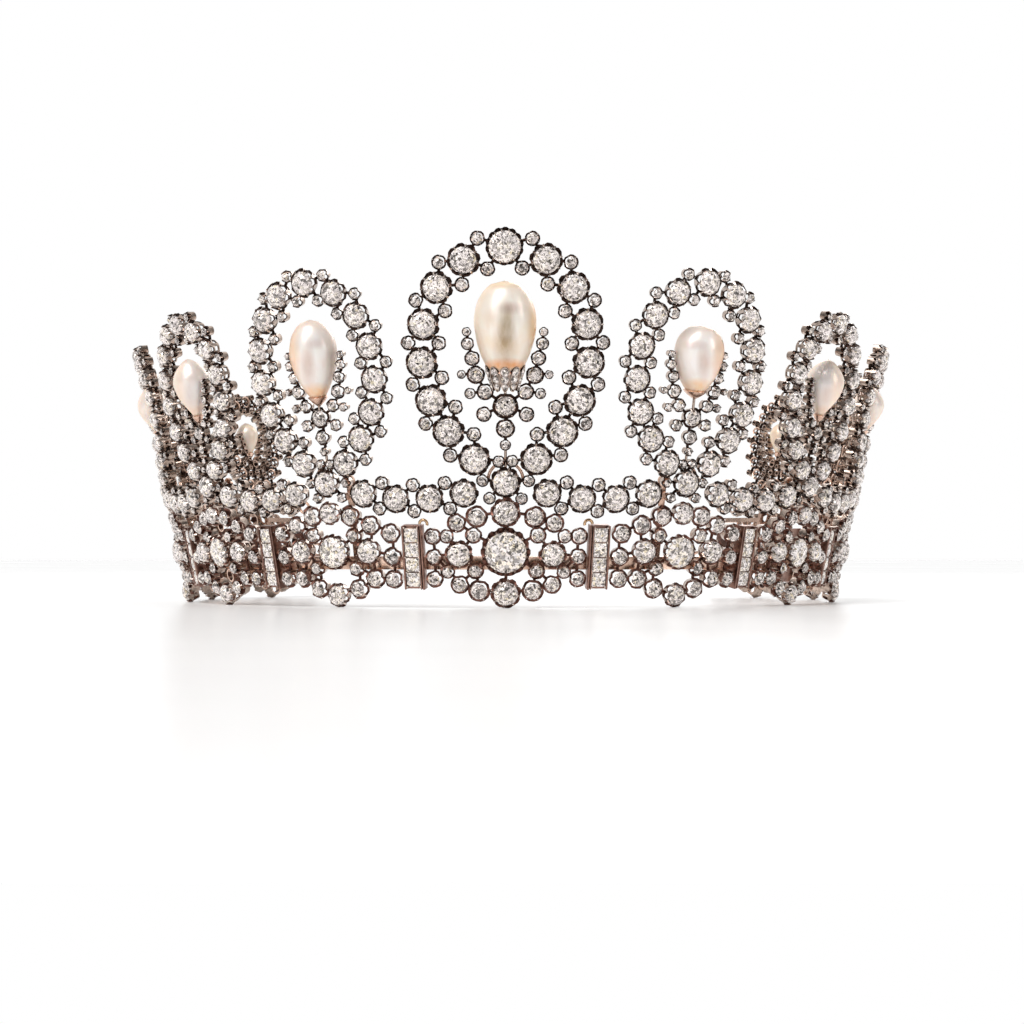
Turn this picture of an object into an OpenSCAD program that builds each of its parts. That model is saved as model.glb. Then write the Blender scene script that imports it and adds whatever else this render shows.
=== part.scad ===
// Pearl tiara: a band of eleven stone-set panels between link bars, a garland of
// collets above it that rises into eleven graduated loops, and a pearl in a spray
// inside each loop. Everything lies on one cone that opens upwards and leans out.
// The tiara stands on the lower scallops of its panels, with its front towards -Y.
// Places on it are given by u, millimetres round the ring to the right, and v,
// millimetres up the cone from the middle of the band; lift is outwards from it.

/* [Ring] */
// Radius of the band at its middle height, at the backs of the settings
ring_r = 83; // [80:0.5:88]
// Outward lean of the whole tiara in degrees
lean = 12; // [8:0.5:14]
// Angle from the middle of the tiara to its first link bar
first_bar_az = 14.4; // [14.4:0.1:14.6]

/* [Loops] */
// Height of the middle loop, from its crossing collet to its top collet
loop_h = 53.2; // [52:0.1:56]
// Half width of the middle loop, at the line of its collets
loop_half_w = 18.4; // [18:0.1:19]
// Height of the crossing collets above the middle of the band
crossing_v = 16.1; // [16:0.1:18]
// Depth of the garland's swag between two loops
swag_depth = 3.9; // [3:0.1:4.2]

/* [Settings] */
// Diameter of the collets of the middle loop
collet_d = 7.1; // [6.6:0.1:7.4]
// Diameter of the crossing collet of the middle loop
crossing_d = 6.7; // [6:0.1:7]
// Diameter of the collets of the garland at the front
garland_d = 6.5; // [6:0.1:6.8]
// Diameter of the small collets beside the middle loop
bead_d = 3.2; // [2.8:0.1:3.4]
// Height of a large collet
collet_h = 3.2; // [2.8:0.1:3.6]
// Height of a small collet
bead_h = 2.3; // [2:0.1:2.6]
// Thickness of the wall of a collet
collet_wall = 0.45; // [0.4:0.05:0.6]
// Play between a stone and its collet, and between a pearl and its cup
seat_gap = 0.12; // [0.1:0.01:0.2]

/* [Link bars] */
// Width of a link bar
bar_w = 4.8; // [4.4:0.1:4.8]
// Height of a link bar
bar_h = 14.8; // [14.2:0.1:15.2]
// Thickness of a link bar
bar_t = 2.8; // [2.4:0.1:3.4]

/* [Gold fittings] */
// Height of the flat strip that runs round inside the band
strip_h = 3.0; // [2:0.1:4]
// Thickness of the strip
strip_t = 0.9; // [0.7:0.1:1]
// Outer diameter of the ribbon rings at the ends of the strip
ring_d = 5.6; // [5:0.1:6.5]
// Diameter of the wire of the ribbon rings
ring_wire_d = 0.8; // [0.7:0.1:1]
// Width of the upright struts behind the loops
strut_w = 1.4; // [1:0.1:2]

/* [Hidden] */
// One row for each rank, from the middle to the ends: the azimuth of its loop and
// its panel; the height, width, collets and top collet of the loop as shares of
// those of the middle loop; the share of the garland next to it, and of the panel
LOOP_ROWS = [
    [0, 1.00, 1.00, 1.00, 1.19, 1.00, 1.00],
    [27.85, 0.87, 0.81, 0.87, 0.90, 0.95, 0.95],
    [54.45, 0.74, 0.70, 0.77, 0.79, 0.90, 0.93],
    [79.95, 0.65, 0.61, 0.69, 0.71, 0.83, 0.88],
    [103.45, 0.57, 0.54, 0.63, 0.65, 0.77, 1.00],
    [124.9, 0.50, 0.48, 0.57, 0.59, 0.74, 0.97],
];
AZ = 0;
H_SHARE = 1;
W_SHARE = 2;
D_SHARE = 3;
TOP_SHARE = 4;
GARLAND_SHARE = 5;
PANEL_SHARE = 6;

// The right half of a loop, from its foot to its top collet: distance from the
// axis and height, as shares of the half width and of the height
LOOP_PATH = [
    [0.37, 0.100],
    [0.68, 0.220],
    [0.89, 0.353],
    [1.00, 0.515],
    [0.98, 0.677],
    [0.815, 0.830],
    [0.49, 0.945],
    [0.00, 1.000],
];

// Pearls to the left and to the right, for each rank: diameter, length, the height
// of the middle as a share of the loop's height, and the fullness of the form
PEARL_ROWS = [
    [[14.3, 24.0, 0.630, 0.43], [14.3, 24.0, 0.630, 0.43]],
    [[11.2, 19.6, 0.606, 0.50], [11.6, 16.6, 0.610, 0.42]],
    [[9.0, 15.4, 0.594, 0.72], [9.4, 15.0, 0.592, 0.72]],
    [[7.8, 12.8, 0.588, 0.72], [7.8, 12.6, 0.588, 0.72]],
    [[7.0, 11.2, 0.592, 0.72], [7.0, 11.2, 0.592, 0.72]],
    [[6.2, 9.8, 0.598, 0.72], [6.2, 9.8, 0.598, 0.72]],
];
DIA = 0;
LENGTH = 1;
MIDDLE = 2;
FULLNESS = 3;

// The spray below the middle pearl: distance from the axis, height above the
// crossing collet, diameter; a row off the axis has a twin on the other side
SPRAY = [
    [0, 8.4, 2.4],
    [0, 12.2, 4.1],
    [0, 17.4, 5.5],
    [4.7, 15.4, 3.3],
    [4.5, 20.6, 3.6],
    [7.8, 20.1, 2.4],
    [6.5, 24.4, 3.9],
    [9.7, 24.5, 1.9],
    [7.3, 28.2, 3.3],
    [8.3, 31.4, 2.8],
    [8.5, 34.1, 2.0],
];
SPRAY_CENTRE = 2;

// Small collets round a crossing: their size as a share of the others in the loop,
// the gap between the upper two, and the direction and gap of the lower two
crossing_bead_share = 0.85;
upper_bead_gap = 0.3;
lower_bead_turn = 47;
lower_bead_gap = 0.5;

// Right half of the middle panel: distance from the axis, height, diameter
MIDDLE_PANEL = [
    [0, 0, 11.2],
    [0, 9.2, 6.4],
    [0, -9.6, 6.5],
    [6.3, 8.1, 4.7],
    [10.7, 6.6, 4.1],
    [7.1, 3.8, 3.6],
    [13.1, 3.5, 3.1],
    [16.3, 3.6, 3.7],
    [10.4, -0.6, 6.1],
    [16.2, -1.2, 3.7],
    [6.9, -4.4, 3.6],
    [13.1, -4.7, 3.1],
    [16.3, -6.3, 3.7],
    [10.5, -7.6, 4.0],
    [6.1, -9.1, 4.7],
];

// Right half of the next three panels on each side
SIDE_PANEL = [
    [0, 0, 8.8],
    [0, 9.1, 5.4],
    [0, -10.0, 5.7],
    [5.5, 8.3, 4.9],
    [10.6, 6.2, 4.6],
    [15.7, 4.3, 4.6],
    [5.8, 3.8, 3.8],
    [9.6, 0.1, 6.2],
    [15.8, -1.2, 4.4],
    [5.8, -3.9, 3.8],
    [10.7, -6.3, 4.6],
    [15.7, -6.4, 4.3],
    [5.9, -8.7, 4.7],
];

// Right half of the two narrow panels at each end
END_PANEL = [
    [0, 0, 7.6],
    [0, 9.4, 5.0],
    [0, -10.3, 5.1],
    [4.9, 8.6, 4.4],
    [9.1, 6.8, 4.0],
    [5.2, 3.8, 3.6],
    [10.4, 2.4, 4.2],
    [6.6, -0.2, 4.2],
    [10.5, -2.4, 4.2],
    [5.2, -4.2, 3.6],
    [9.2, -7.0, 4.2],
    [4.9, -9.3, 4.4],
];
DIST = 0;
RISE = 1;
SIZE = 2;
// Row of the lowest collet in each panel: the rows up to it hold main stones, save
// in the last panels, where only the first row does
LOWEST = 2;

// Columns of the lists of collets that the functions below make
U = 0;
V = 1;
D = 2;
TALL = 3;
OPEN = 4;

// Shares of a stretch of garland at which its collets stand
GARLAND_STEPS = [0.222, 0.407, 0.593, 0.778];
END_STEPS = [0.345, 0.675];
// Azimuth at which the garland ends
end_az = 138;
// Azimuth at which the inner strip ends, and that of the last link bars
strip_end_az = 138.8;
last_bar_az = 135.2;
last_rank = 5;
end_panels_from = 4;

// Gap between a small collet and the two large ones that it nestles between
nestle_gap = 0.42;
// Wires between collets: thickness, height, and the widest gap that they cross
wire_t = 0.8;
wire_lift = 0.5;
wire_reach = 1.0;
panel_wire_reach = 1.6;
// The stem from a crossing to its spray passes under the other wires
stem_lift = 0.35;
// Gap between a panel and the link bars beside it
panel_gap = 0.3;
// Height of the small collets of a panel, and the diameter at which large ones start
panel_bead_h = 2.7;
large_from = 5;
// Main stones: how far the girdle lies below the rim, and the shape of the cut
girdle_drop = 0.35;
table_share = 0.55;
crown_share = 0.20;
pavilion_share = 0.42;
pavilion_most = 2.6;
stone_sides = 8;
centre_stone_sides = 16;
// Pearls: height of the axis, and place of the widest girth
pearl_lift = 1.6;
pearl_skew = 1.45;
pearl_steps = 18;
cup_wall = 0.5;
cup_steps = 5;
middle_cup_share = 0.19;
side_cup_share = 0.12;
// Link bars: middle, pockets for the column of stones, groove beside the rail
bar_v = -1.3;
pocket_count = 4;
pocket_w = 3.0;
pocket_pitch = 3.45;
pocket_depth = 1.2;
pocket_shift = 0.35;
groove_w = 0.35;
rail_w = 0.8;
// The hook on a bar: bend, wire, turn in degrees, stem, and its place at the corner
hook_r = 0.9;
hook_wire_d = 0.7;
hook_turn = 200;
hook_stem = 1.6;
hook_in = 0.7;
hook_rise = 0.3;
wire_fine = 24;
// Inner strip and struts: height, distance behind the settings, and how far in
// degrees the strut of each rank stands from its loop
strip_v = -3.2;
strip_lift = -1.4;
strut_t = 0.6;
STRUT_TURN = [0, 2.8, 2.8, 2, 1, 0];
plate_d = 2.8;
// The second ring of each end, and how far it stands back from the strip's end
small_ring_d = 4.2;
small_ring_back = 2.5;
// The arm under the end of the garland: height, width, where it starts and ends
arm_v = 8.4;
arm_h = 1.2;
arm_start_az = LOOP_ROWS[last_rank][AZ] - 0.3;
arm_end_az = 136.5;
fine = 48;

// Lowest collet of a panel, and the floor that its scallop touches
lowest_v = MIDDLE_PANEL[LOWEST][RISE] - MIDDLE_PANEL[LOWEST][SIZE] / 2;
floor_z = lowest_v * cos(lean) - collet_h * sin(lean);
// Reach to the front, at the middle pearl, and to the back, at the garland's ends
front_reach = radius_at(crossing_v + loop_h * PEARL_ROWS[0][0][MIDDLE])
    + (pearl_lift + PEARL_ROWS[0][0][DIA] / 2) * cos(lean);
back_reach = (radius_at(crossing_v) + wire_lift + wire_t) * -cos(end_az);

// Names of the repeated pieces, counted outwards from the middle
function side_word(i) = i < 0 ? "left" : "right";
function named(kind, i) = i == 0 ? str(kind, "_middle") : str(kind, "_", side_word(i), "_", abs(i));
function stretch_name(s, k) = str("garland_", side_word(s), "_", k + 1);
function bar_name(s, k) = str("bar_", side_word(s), "_", k + 1);

// Places on the cone
function radius_at(v) = ring_r + v * sin(lean);
function degrees_of(u, v) = u / radius_at(v) * 180 / PI;
function arc_of(az, v) = az * PI / 180 * radius_at(v);
function band_point(u, v, lift) =
    let (az = degrees_of(u, v), r = radius_at(v) + lift * cos(lean))
    [r * sin(az), -r * cos(az), v * cos(lean) - lift * sin(lean)];
function both_sides(dist) = dist == 0 ? [1] : [-1, 1];

// Path of one loop, from its right foot over the top to its left foot
function loop_path(row) =
    let (last = len(LOOP_PATH) - 1, w = loop_half_w * row[W_SHARE], h = loop_h * row[H_SHARE])
    concat(
        [for (i = [0:last]) [w * LOOP_PATH[i][0], crossing_v + h * LOOP_PATH[i][1]]],
        [for (i = [last - 1:-1:0]) [-w * LOOP_PATH[i][0], crossing_v + h * LOOP_PATH[i][1]]]
    );

// Large collets of one loop in their order, and its crossing collet
function loop_collets(row) =
    let (path = loop_path(row), top = len(LOOP_PATH) - 1)
    [for (i = [0:len(path) - 1])
        [path[i][U], path[i][V], collet_d * row[i == top ? TOP_SHARE : D_SHARE], collet_h, true]];
function crossing_collet(row) = [0, crossing_v, crossing_d * row[GARLAND_SHARE], collet_h, true];

// A pair of small collets in each gap of a row of large ones, one on each side:
// each stands nestle_gap from the rims of its two neighbours
function paired_beads(row, d, gap) = [
    for (i = [0:len(row) - 2], s = [-1, 1])
        let (
            a = row[i],
            b = row[i + 1],
            pitch = norm([b[U] - a[U], b[V] - a[V]]),
            along = [b[U] - a[U], b[V] - a[V]] / pitch,
            from_a = (a[D] + d) / 2 + gap,
            from_b = (b[D] + d) / 2 + gap,
            run = (pitch * pitch + from_a * from_a - from_b * from_b) / (2 * pitch),
            off = s * sqrt(from_a * from_a - run * run)
        )
        [a[U] + along[0] * run - along[1] * off, a[V] + along[1] * run + along[0] * off, d, bead_h, false]
];

// Round a crossing: a pair above it, a pair below, and a pair that nestles between
// it and the feet of the loop
function crossing_beads(row) =
    let (
        hub = crossing_collet(row),
        d = crossing_bead_share * bead_d * row[D_SHARE],
        beside = paired_beads([hub, loop_collets(row)[0]], d, nestle_gap * row[D_SHARE])[0],
        out = (hub[D] + d) / 2 + nestle_gap * row[D_SHARE] / 2,
        across = (d + upper_bead_gap * row[D_SHARE]) / 2,
        far = (hub[D] + d) / 2 + lower_bead_gap * row[D_SHARE]
    )
    [for (s = [-1, 1], at = [
        [beside[U], beside[V]],
        [across, crossing_v + sqrt(out * out - across * across)],
        [far * cos(lower_bead_turn), crossing_v - far * sin(lower_bead_turn)]
    ]) [s * at[U], at[V], d, bead_h, false]];

function spray_collets(row) = [
    for (c = SPRAY, s = both_sides(c[DIST]))
        [s * c[DIST] * row[W_SHARE], crossing_v + c[RISE] * row[H_SHARE],
            c[SIZE] * (row[W_SHARE] + row[H_SHARE]) / 2, bead_h, false]
];

// Large collets of a stretch of garland, about its own middle azimuth
function garland_span(k) = (k == last_rank ? end_az : LOOP_ROWS[k + 1][AZ]) - LOOP_ROWS[k][AZ];
function garland_middle(k) = LOOP_ROWS[k][AZ] + garland_span(k) / 2;
function garland_v(k, t) = crossing_v - swag_depth * sin(180 * t * (k == last_rank ? 0.5 : 1));
function garland_u(k, t) = arc_of((t - 0.5) * garland_span(k), crossing_v);
function garland_share(k) =
    let (row = LOOP_ROWS[k], next = LOOP_ROWS[min(k + 1, last_rank)])
    (row[GARLAND_SHARE] + next[GARLAND_SHARE]) / 2;
function garland_collets(k) = [
    for (t = k == last_rank ? END_STEPS : GARLAND_STEPS)
        [garland_u(k, t), garland_v(k, t), garland_d * garland_share(k), collet_h, true]
];

// Link bars stand midway between the panels, the first one at its own angle
function bar_az(k) =
    k < 0 ? -first_bar_az :
    k == 0 ? first_bar_az :
    k == last_rank ? last_bar_az : (LOOP_ROWS[k][AZ] + LOOP_ROWS[k + 1][AZ]) / 2;

// Collets of a panel, drawn out or in to reach both of its bars
function panel_rows(k) = k == 0 ? MIDDLE_PANEL : k < end_panels_from ? SIDE_PANEL : END_PANEL;
function panel_half(k) =
    let (half = min(bar_az(k) - LOOP_ROWS[k][AZ], LOOP_ROWS[k][AZ] - bar_az(k - 1)))
    half * PI / 180 * ring_r - bar_w / 2 - panel_gap;
function panel_stretch(k) =
    let (rows = panel_rows(k), share = LOOP_ROWS[k][PANEL_SHARE])
    min([for (c = rows) if (c[DIST] > 0) (panel_half(k) - c[SIZE] * share / 2) / c[DIST]]);
function panel_collets(k) =
    let (rows = panel_rows(k), share = LOOP_ROWS[k][PANEL_SHARE], stretch = panel_stretch(k))
    [for (i = [0:len(rows) - 1], s = both_sides(rows[i][DIST]))
        let (c = rows[i], d = c[SIZE] * share)
        [s * c[DIST] * stretch * radius_at(c[RISE]) / ring_r,
            i == LOWEST ? lowest_v + d / 2 : c[RISE],
            d, d < large_from ? panel_bead_h : collet_h, i <= (k == last_rank ? 0 : LOWEST)]];

// Form of a pearl: its radius at a share of its length, from the narrow lower end
function pearl_radius(share, size) =
    size[DIA] / 2 * pow(sin(180 * pow(share, pearl_skew)), size[FULLNESS]);

module in_frame(az = 0)
    translate([0, (front_reach - back_reach) / 2, -floor_z])
    rotate([0, 0, az])
    children();

module on_band(u, v, lift = 0)
    rotate([0, 0, degrees_of(u, v)])
    translate([0, -radius_at(v), v * cos(lean)])
    rotate([90 + lean, 0, 0])
    translate([0, 0, lift])
    children();

// A flat wire in the cone's surface, from one place to another
module back_wire(a, b, lift = wire_lift) {
    run = norm([b[U] - a[U], b[V] - a[V]]);
    on_band((a[U] + b[U]) / 2, (a[V] + b[V]) / 2, lift)
    rotate([0, 0, atan2(b[V] - a[V], b[U] - a[U])])
    translate([-run / 2, -wire_t / 2, 0])
    cube([run, wire_t, wire_t]);
}

// A closed ring of round wire that lies in the cone's surface
module wire_ring(d, wire)
    rotate_extrude($fn = fine)
    translate([(d - wire) / 2, 0])
    circle(d = wire, $fn = wire_fine);

// Collets with open backs where a main stone goes in, wired to their neighbours
module metalwork(list, reach = wire_reach) {
    difference() {
        union() {
            for (c = list)
                on_band(c[U], c[V]) cylinder(d = c[D], h = c[TALL], $fn = fine);
            for (i = [0:len(list) - 2], j = [i + 1:len(list) - 1])
                if (rim_gap(list[i], list[j]) < reach)
                    back_wire(list[i], list[j]);
            children();
        }
        for (c = list)
            if (c[OPEN])
                on_band(c[U], c[V], -1)
                cylinder(d = c[D] - 2 * collet_wall, h = c[TALL] + 2, $fn = fine);
    }
}
function rim_gap(a, b) = norm([a[U] - b[U], a[V] - b[V]]) - (a[D] + b[D]) / 2;

// A cut stone with a flat table, a crown, a girdle and a pavilion
module cut_stone(d, sides) {
    crown = d * crown_share;
    pavilion = min(d * pavilion_share, pavilion_most);
    step = 360 / sides;
    points = concat(
        [for (i = [0:sides - 1]) [cos(i * step), sin(i * step), 0] * d / 2],
        [for (i = [0:sides - 1])
            let (turn = (i + 0.5) * step)
            [cos(turn) * table_share * d / 2, sin(turn) * table_share * d / 2, crown]],
        [[0, 0, -pavilion]]
    );
    faces = concat(
        [[for (i = [sides - 1:-1:0]) sides + i]],
        [for (i = [0:sides - 1]) [i, sides + i, (i + 1) % sides]],
        [for (i = [0:sides - 1]) [(i + 1) % sides, sides + i, sides + (i + 1) % sides]],
        [for (i = [0:sides - 1]) [i, (i + 1) % sides, 2 * sides]]
    );
    polyhedron(points = points, faces = faces);
}

module seated_stone(c, sides = stone_sides)
    on_band(c[U], c[V], c[TALL] - girdle_drop)
    cut_stone(c[D] - 2 * collet_wall - 2 * seat_gap, sides);

// A pearl on its own axis, narrow end down, at the origin
module pearl_form(size)
    rotate_extrude($fn = fine)
    polygon(concat(
        [[0, 0]],
        [for (i = [1:pearl_steps - 1])
            [pearl_radius(i / pearl_steps, size), i / pearl_steps * size[LENGTH]]],
        [[0, size[LENGTH]]]
    ));

// The outside of a cup round the lower end of a pearl, grown by a margin
module cup_form(size, share, grow, top)
    rotate_extrude($fn = fine)
    polygon(concat(
        [[0, -grow]],
        [for (i = [1:cup_steps])
            [pearl_radius(i / cup_steps * share, size) + grow, i / cup_steps * share * size[LENGTH]]],
        [[0, share * size[LENGTH] + top]]
    ));

function pearl_size(i) = PEARL_ROWS[abs(i)][i < 0 ? 0 : 1];
function pearl_tip_v(i) =
    crossing_v + loop_h * LOOP_ROWS[abs(i)][H_SHARE] * pearl_size(i)[MIDDLE] - pearl_size(i)[LENGTH] / 2;

module pearl(i)
    color("linen")
    in_frame(sign(i) * LOOP_ROWS[abs(i)][AZ])
    on_band(0, pearl_tip_v(i), pearl_lift)
    rotate([-90, 0, 0])
    pearl_form(pearl_size(i));

module pearl_cup(i) {
    share = i == 0 ? middle_cup_share : side_cup_share;
    on_band(0, pearl_tip_v(i), pearl_lift)
    rotate([-90, 0, 0])
    difference() {
        cup_form(pearl_size(i), share, seat_gap + cup_wall, 0);
        cup_form(pearl_size(i), share, seat_gap, 1);
    }
    post_foot = crossing_v + SPRAY[SPRAY_CENTRE][RISE] * LOOP_ROWS[abs(i)][H_SHARE];
    post_top = pearl_tip_v(i) - seat_gap - cup_wall / 2;
    on_band(0, post_foot, pearl_lift - wire_t / 2)
    translate([-wire_t / 2, 0, 0])
    cube([wire_t, post_top - post_foot, wire_t]);
}

// One loop with its crossing, its spray and the cup of its pearl
module loop(i) {
    row = LOOP_ROWS[abs(i)];
    color("dimgray")
    in_frame(sign(i) * row[AZ])
    metalwork(concat(
        loop_collets(row),
        [crossing_collet(row)],
        paired_beads(loop_collets(row), bead_d * row[D_SHARE], nestle_gap * row[D_SHARE]),
        crossing_beads(row),
        spray_collets(row)
    ), wire_reach * row[D_SHARE]) {
        back_wire([0, crossing_v], [0, crossing_v + SPRAY[0][RISE] * row[H_SHARE]], stem_lift);
        pearl_cup(i);
    }
}

module garland(s, k) {
    list = garland_collets(k);
    beads = paired_beads(list, bead_d * garland_share(k), nestle_gap * garland_share(k) / 2);
    color("gray")
    in_frame(s * garland_middle(k))
    mirror([s < 0 ? 1 : 0, 0, 0])
    metalwork(concat(list, beads))
    if (k == last_rank)
        garland_ring(list[len(list) - 1]);
}

// The small ring at the end of the garland
module garland_ring(last)
    on_band(last[U] + (last[D] + small_ring_d) / 2 - ring_wire_d, last[V], wire_lift + wire_t / 2)
    wire_ring(small_ring_d, ring_wire_d);

module panel(i)
    color("gray")
    in_frame(sign(i) * LOOP_ROWS[abs(i)][AZ])
    metalwork(panel_collets(abs(i)), panel_wire_reach);

// A link bar: a rail with a column of square pockets, and a groove beside the
// rail that faces the middle of the tiara
module link_bar(s, k)
    color("slategray")
    in_frame(s * bar_az(k))
    mirror([s < 0 ? 1 : 0, 0, 0])
    on_band(0, bar_v)
    union() {
        difference() {
            translate([-bar_w / 2, -bar_h / 2, 0]) cube([bar_w, bar_h, bar_t]);
            for (n = [0:pocket_count - 1])
                translate([pocket_shift, (n - (pocket_count - 1) / 2) * pocket_pitch, bar_t - pocket_depth])
                translate([-pocket_w / 2, -pocket_w / 2, 0])
                cube([pocket_w, pocket_w, pocket_depth + 1]);
            translate([-bar_w / 2 + rail_w, -bar_h / 2 - 1, bar_t - pocket_depth])
            cube([groove_w, bar_h + 2, pocket_depth + 1]);
        }
        if (k == 0)
            bar_hook();
    }

// The wire hook on top of the two bars beside the middle panel
module bar_hook()
    translate([-bar_w / 2 - hook_r + hook_in, bar_h / 2 + hook_rise, bar_t / 2])
    union() {
        rotate_extrude(angle = hook_turn, $fn = fine)
        translate([hook_r, 0])
        circle(d = hook_wire_d, $fn = wire_fine);
        translate([hook_r, hook_rise / 2, 0])
        rotate([90, 0, 0])
        cylinder(d = hook_wire_d, h = hook_stem, $fn = wire_fine);
    }

// The main stones of the loops and of the garland
module loop_stones()
    color("white") {
        for (i = [-last_rank:last_rank])
            in_frame(sign(i) * LOOP_ROWS[abs(i)][AZ])
            for (c = concat(loop_collets(LOOP_ROWS[abs(i)]), [crossing_collet(LOOP_ROWS[abs(i)])]))
                seated_stone(c);
        for (s = [-1, 1], k = [0:last_rank])
            in_frame(s * garland_middle(k))
            mirror([s < 0 ? 1 : 0, 0, 0])
            for (c = garland_collets(k))
                seated_stone(c);
    }

module panel_stones()
    color("white")
    for (i = [-last_rank:last_rank])
        in_frame(sign(i) * LOOP_ROWS[abs(i)][AZ])
        for (c = panel_collets(abs(i)))
            if (c[OPEN])
                seated_stone(c, c[V] == 0 ? centre_stone_sides : stone_sides);

// A corner of the section of a flat band inside the cone: up its height, out its
// thickness
function inner_corner(v, h, t, up, out) =
    let (at = v + up * h / 2, lift = strip_lift + (strip_t - t) / 2 + out * t)
    [radius_at(at) + lift * cos(lean), at * cos(lean) - lift * sin(lean)];

// A flat band inside the cone, from one azimuth to another
module inner_band(v, h, t, from, to)
    rotate([0, 0, from - 90])
    rotate_extrude(angle = to - from, $fn = 4 * fine)
    polygon([for (c = [[-1, 0], [-1, 1], [1, 1], [1, 0]]) inner_corner(v, h, t, c[0], c[1])]);

// An upright strut behind a loop, with a round plate on top
module strut(az)
    rotate([0, 0, az])
    on_band(0, strip_v, strip_lift + (strip_t - strut_t) / 2) {
        translate([-strut_w / 2, 0, 0])
        cube([strut_w, crossing_v - strip_v, strut_t]);
        translate([0, crossing_v - strip_v, 0])
        cylinder(d = plate_d, h = strut_t, $fn = fine);
    }

// The gold frame inside: the strip, a strut behind each loop, an arm on the last
// struts that reaches under the end of the garland, and two rings at each end
module inner_strip()
    color("rosybrown")
    in_frame()
    union() {
        inner_band(strip_v, strip_h, strip_t, -strip_end_az, strip_end_az);
        strut(0);
        for (s = [-1, 1])
            mirror([s < 0 ? 1 : 0, 0, 0]) {
                for (k = [1:last_rank])
                    strut(LOOP_ROWS[k][AZ] - STRUT_TURN[k]);
                inner_band(arm_v, arm_h, strip_t, arm_start_az, arm_end_az);
                strip_rings();
            }
    }

module strip_rings()
    rotate([0, 0, strip_end_az]) {
        on_band(ring_d / 2 - ring_wire_d, strip_v, strip_lift + strip_t / 2)
        wire_ring(ring_d, ring_wire_d);
        on_band(-small_ring_back, strip_v + (strip_h + small_ring_d) / 2 - ring_wire_d / 2,
            strip_lift + strip_t / 2)
        wire_ring(small_ring_d, ring_wire_d);
    }

for (i = [-last_rank:last_rank])
    pearl(i);
for (i = [-last_rank:last_rank])
    loop(i);
for (s = [-1, 1], k = [0:last_rank])
    garland(s, k);
for (i = [-last_rank:last_rank])
    panel(i);
for (s = [-1, 1], k = [0:last_rank])
    link_bar(s, k);
loop_stones();
panel_stones();
inner_strip();
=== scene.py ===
import math
import random
from collections import namedtuple

import bmesh
import bpy
from mathutils import Matrix, Vector, noise


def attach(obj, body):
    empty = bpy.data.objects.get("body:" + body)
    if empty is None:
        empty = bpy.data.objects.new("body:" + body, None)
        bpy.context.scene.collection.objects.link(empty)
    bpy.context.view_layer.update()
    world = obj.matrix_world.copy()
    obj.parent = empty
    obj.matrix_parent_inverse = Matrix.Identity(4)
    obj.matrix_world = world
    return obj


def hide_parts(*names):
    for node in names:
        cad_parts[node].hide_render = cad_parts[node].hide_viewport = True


# Pearl tiara: the looks. Lengths are in millimetres until a shape is put in its place,
# and places are given as in the construction: an azimuth round the ring, u millimetres
# to the right of it, v millimetres up the cone, and a lift outwards. Loops, panels and
# pearls are counted from the middle, with the left ones below 0.

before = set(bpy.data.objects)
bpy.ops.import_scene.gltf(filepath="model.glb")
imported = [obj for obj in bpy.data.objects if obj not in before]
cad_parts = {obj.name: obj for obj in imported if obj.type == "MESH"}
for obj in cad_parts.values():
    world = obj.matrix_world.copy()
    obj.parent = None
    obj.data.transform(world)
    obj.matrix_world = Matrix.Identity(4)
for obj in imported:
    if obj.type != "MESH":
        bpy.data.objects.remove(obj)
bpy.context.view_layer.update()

# Ring
MM = 0.001
RING_R = 83.0
LEAN = math.radians(12.0)
FIRST_BAR_AZ = 14.4
LAST_BAR_AZ = 135.2
END_AZ = 138.0
CROSSING_V = 16.1
SWAG_DEPTH = 3.9

# Loops and settings
LOOP_H = 53.2
LOOP_HALF_W = 18.4
COLLET_D = 7.1
CROSSING_D = 6.7
GARLAND_D = 6.5
BEAD_D = 3.2
COLLET_H = 3.2
BEAD_H = 2.3
PANEL_BEAD_H = 2.7
LARGE_FROM = 5.0
NESTLE_GAP = 0.42
CROSSING_BEAD_SHARE = 0.85
UPPER_BEAD_GAP = 0.3
LOWER_BEAD_TURN = math.radians(47.0)
LOWER_BEAD_GAP = 0.5
WIRE_T = 0.8
WIRE_LIFT = 0.5
WIRE_REACH = 1.0
PANEL_WIRE_REACH = 1.6
PANEL_GAP = 0.3
SEAT_GAP = 0.12

# Link bars
BAR_W = 4.8
BAR_H = 14.8
BAR_T = 2.8
BAR_V = -1.3
POCKET_COUNT = 4
POCKET_PITCH = 3.45

# Pearls
PEARL_LIFT = 1.6
PEARL_SKEW = 1.45
CUP_WALL = 0.5
CUP_SHARE = 0.09
CAP_SHARE = 0.19

LAST_RANK = 5
LOOPS = range(-LAST_RANK, LAST_RANK + 1)
END_PANELS_FROM = 4

# One row for each rank, from the middle to the ends: azimuth of the loop and the
# panel, then shares of the middle loop's height, width, collets and top collet,
# the share of the garland next to it, and that of the panel
Rank = namedtuple("Rank", "az high wide collets top garland panel")
RANKS = [
    Rank(0, 1.00, 1.00, 1.00, 1.19, 1.00, 1.00),
    Rank(27.85, 0.87, 0.81, 0.87, 0.90, 0.95, 0.95),
    Rank(54.45, 0.74, 0.70, 0.77, 0.79, 0.90, 0.93),
    Rank(79.95, 0.65, 0.61, 0.69, 0.71, 0.83, 0.88),
    Rank(103.45, 0.57, 0.54, 0.63, 0.65, 0.77, 1.00),
    Rank(124.9, 0.50, 0.48, 0.57, 0.59, 0.74, 0.97),
]

# Right half of a loop: shares of its half width and of its height
LOOP_PATH = [
    (0.37, 0.100), (0.68, 0.220), (0.89, 0.353), (1.00, 0.515),
    (0.98, 0.677), (0.815, 0.830), (0.49, 0.945), (0.00, 1.000),
]

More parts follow.
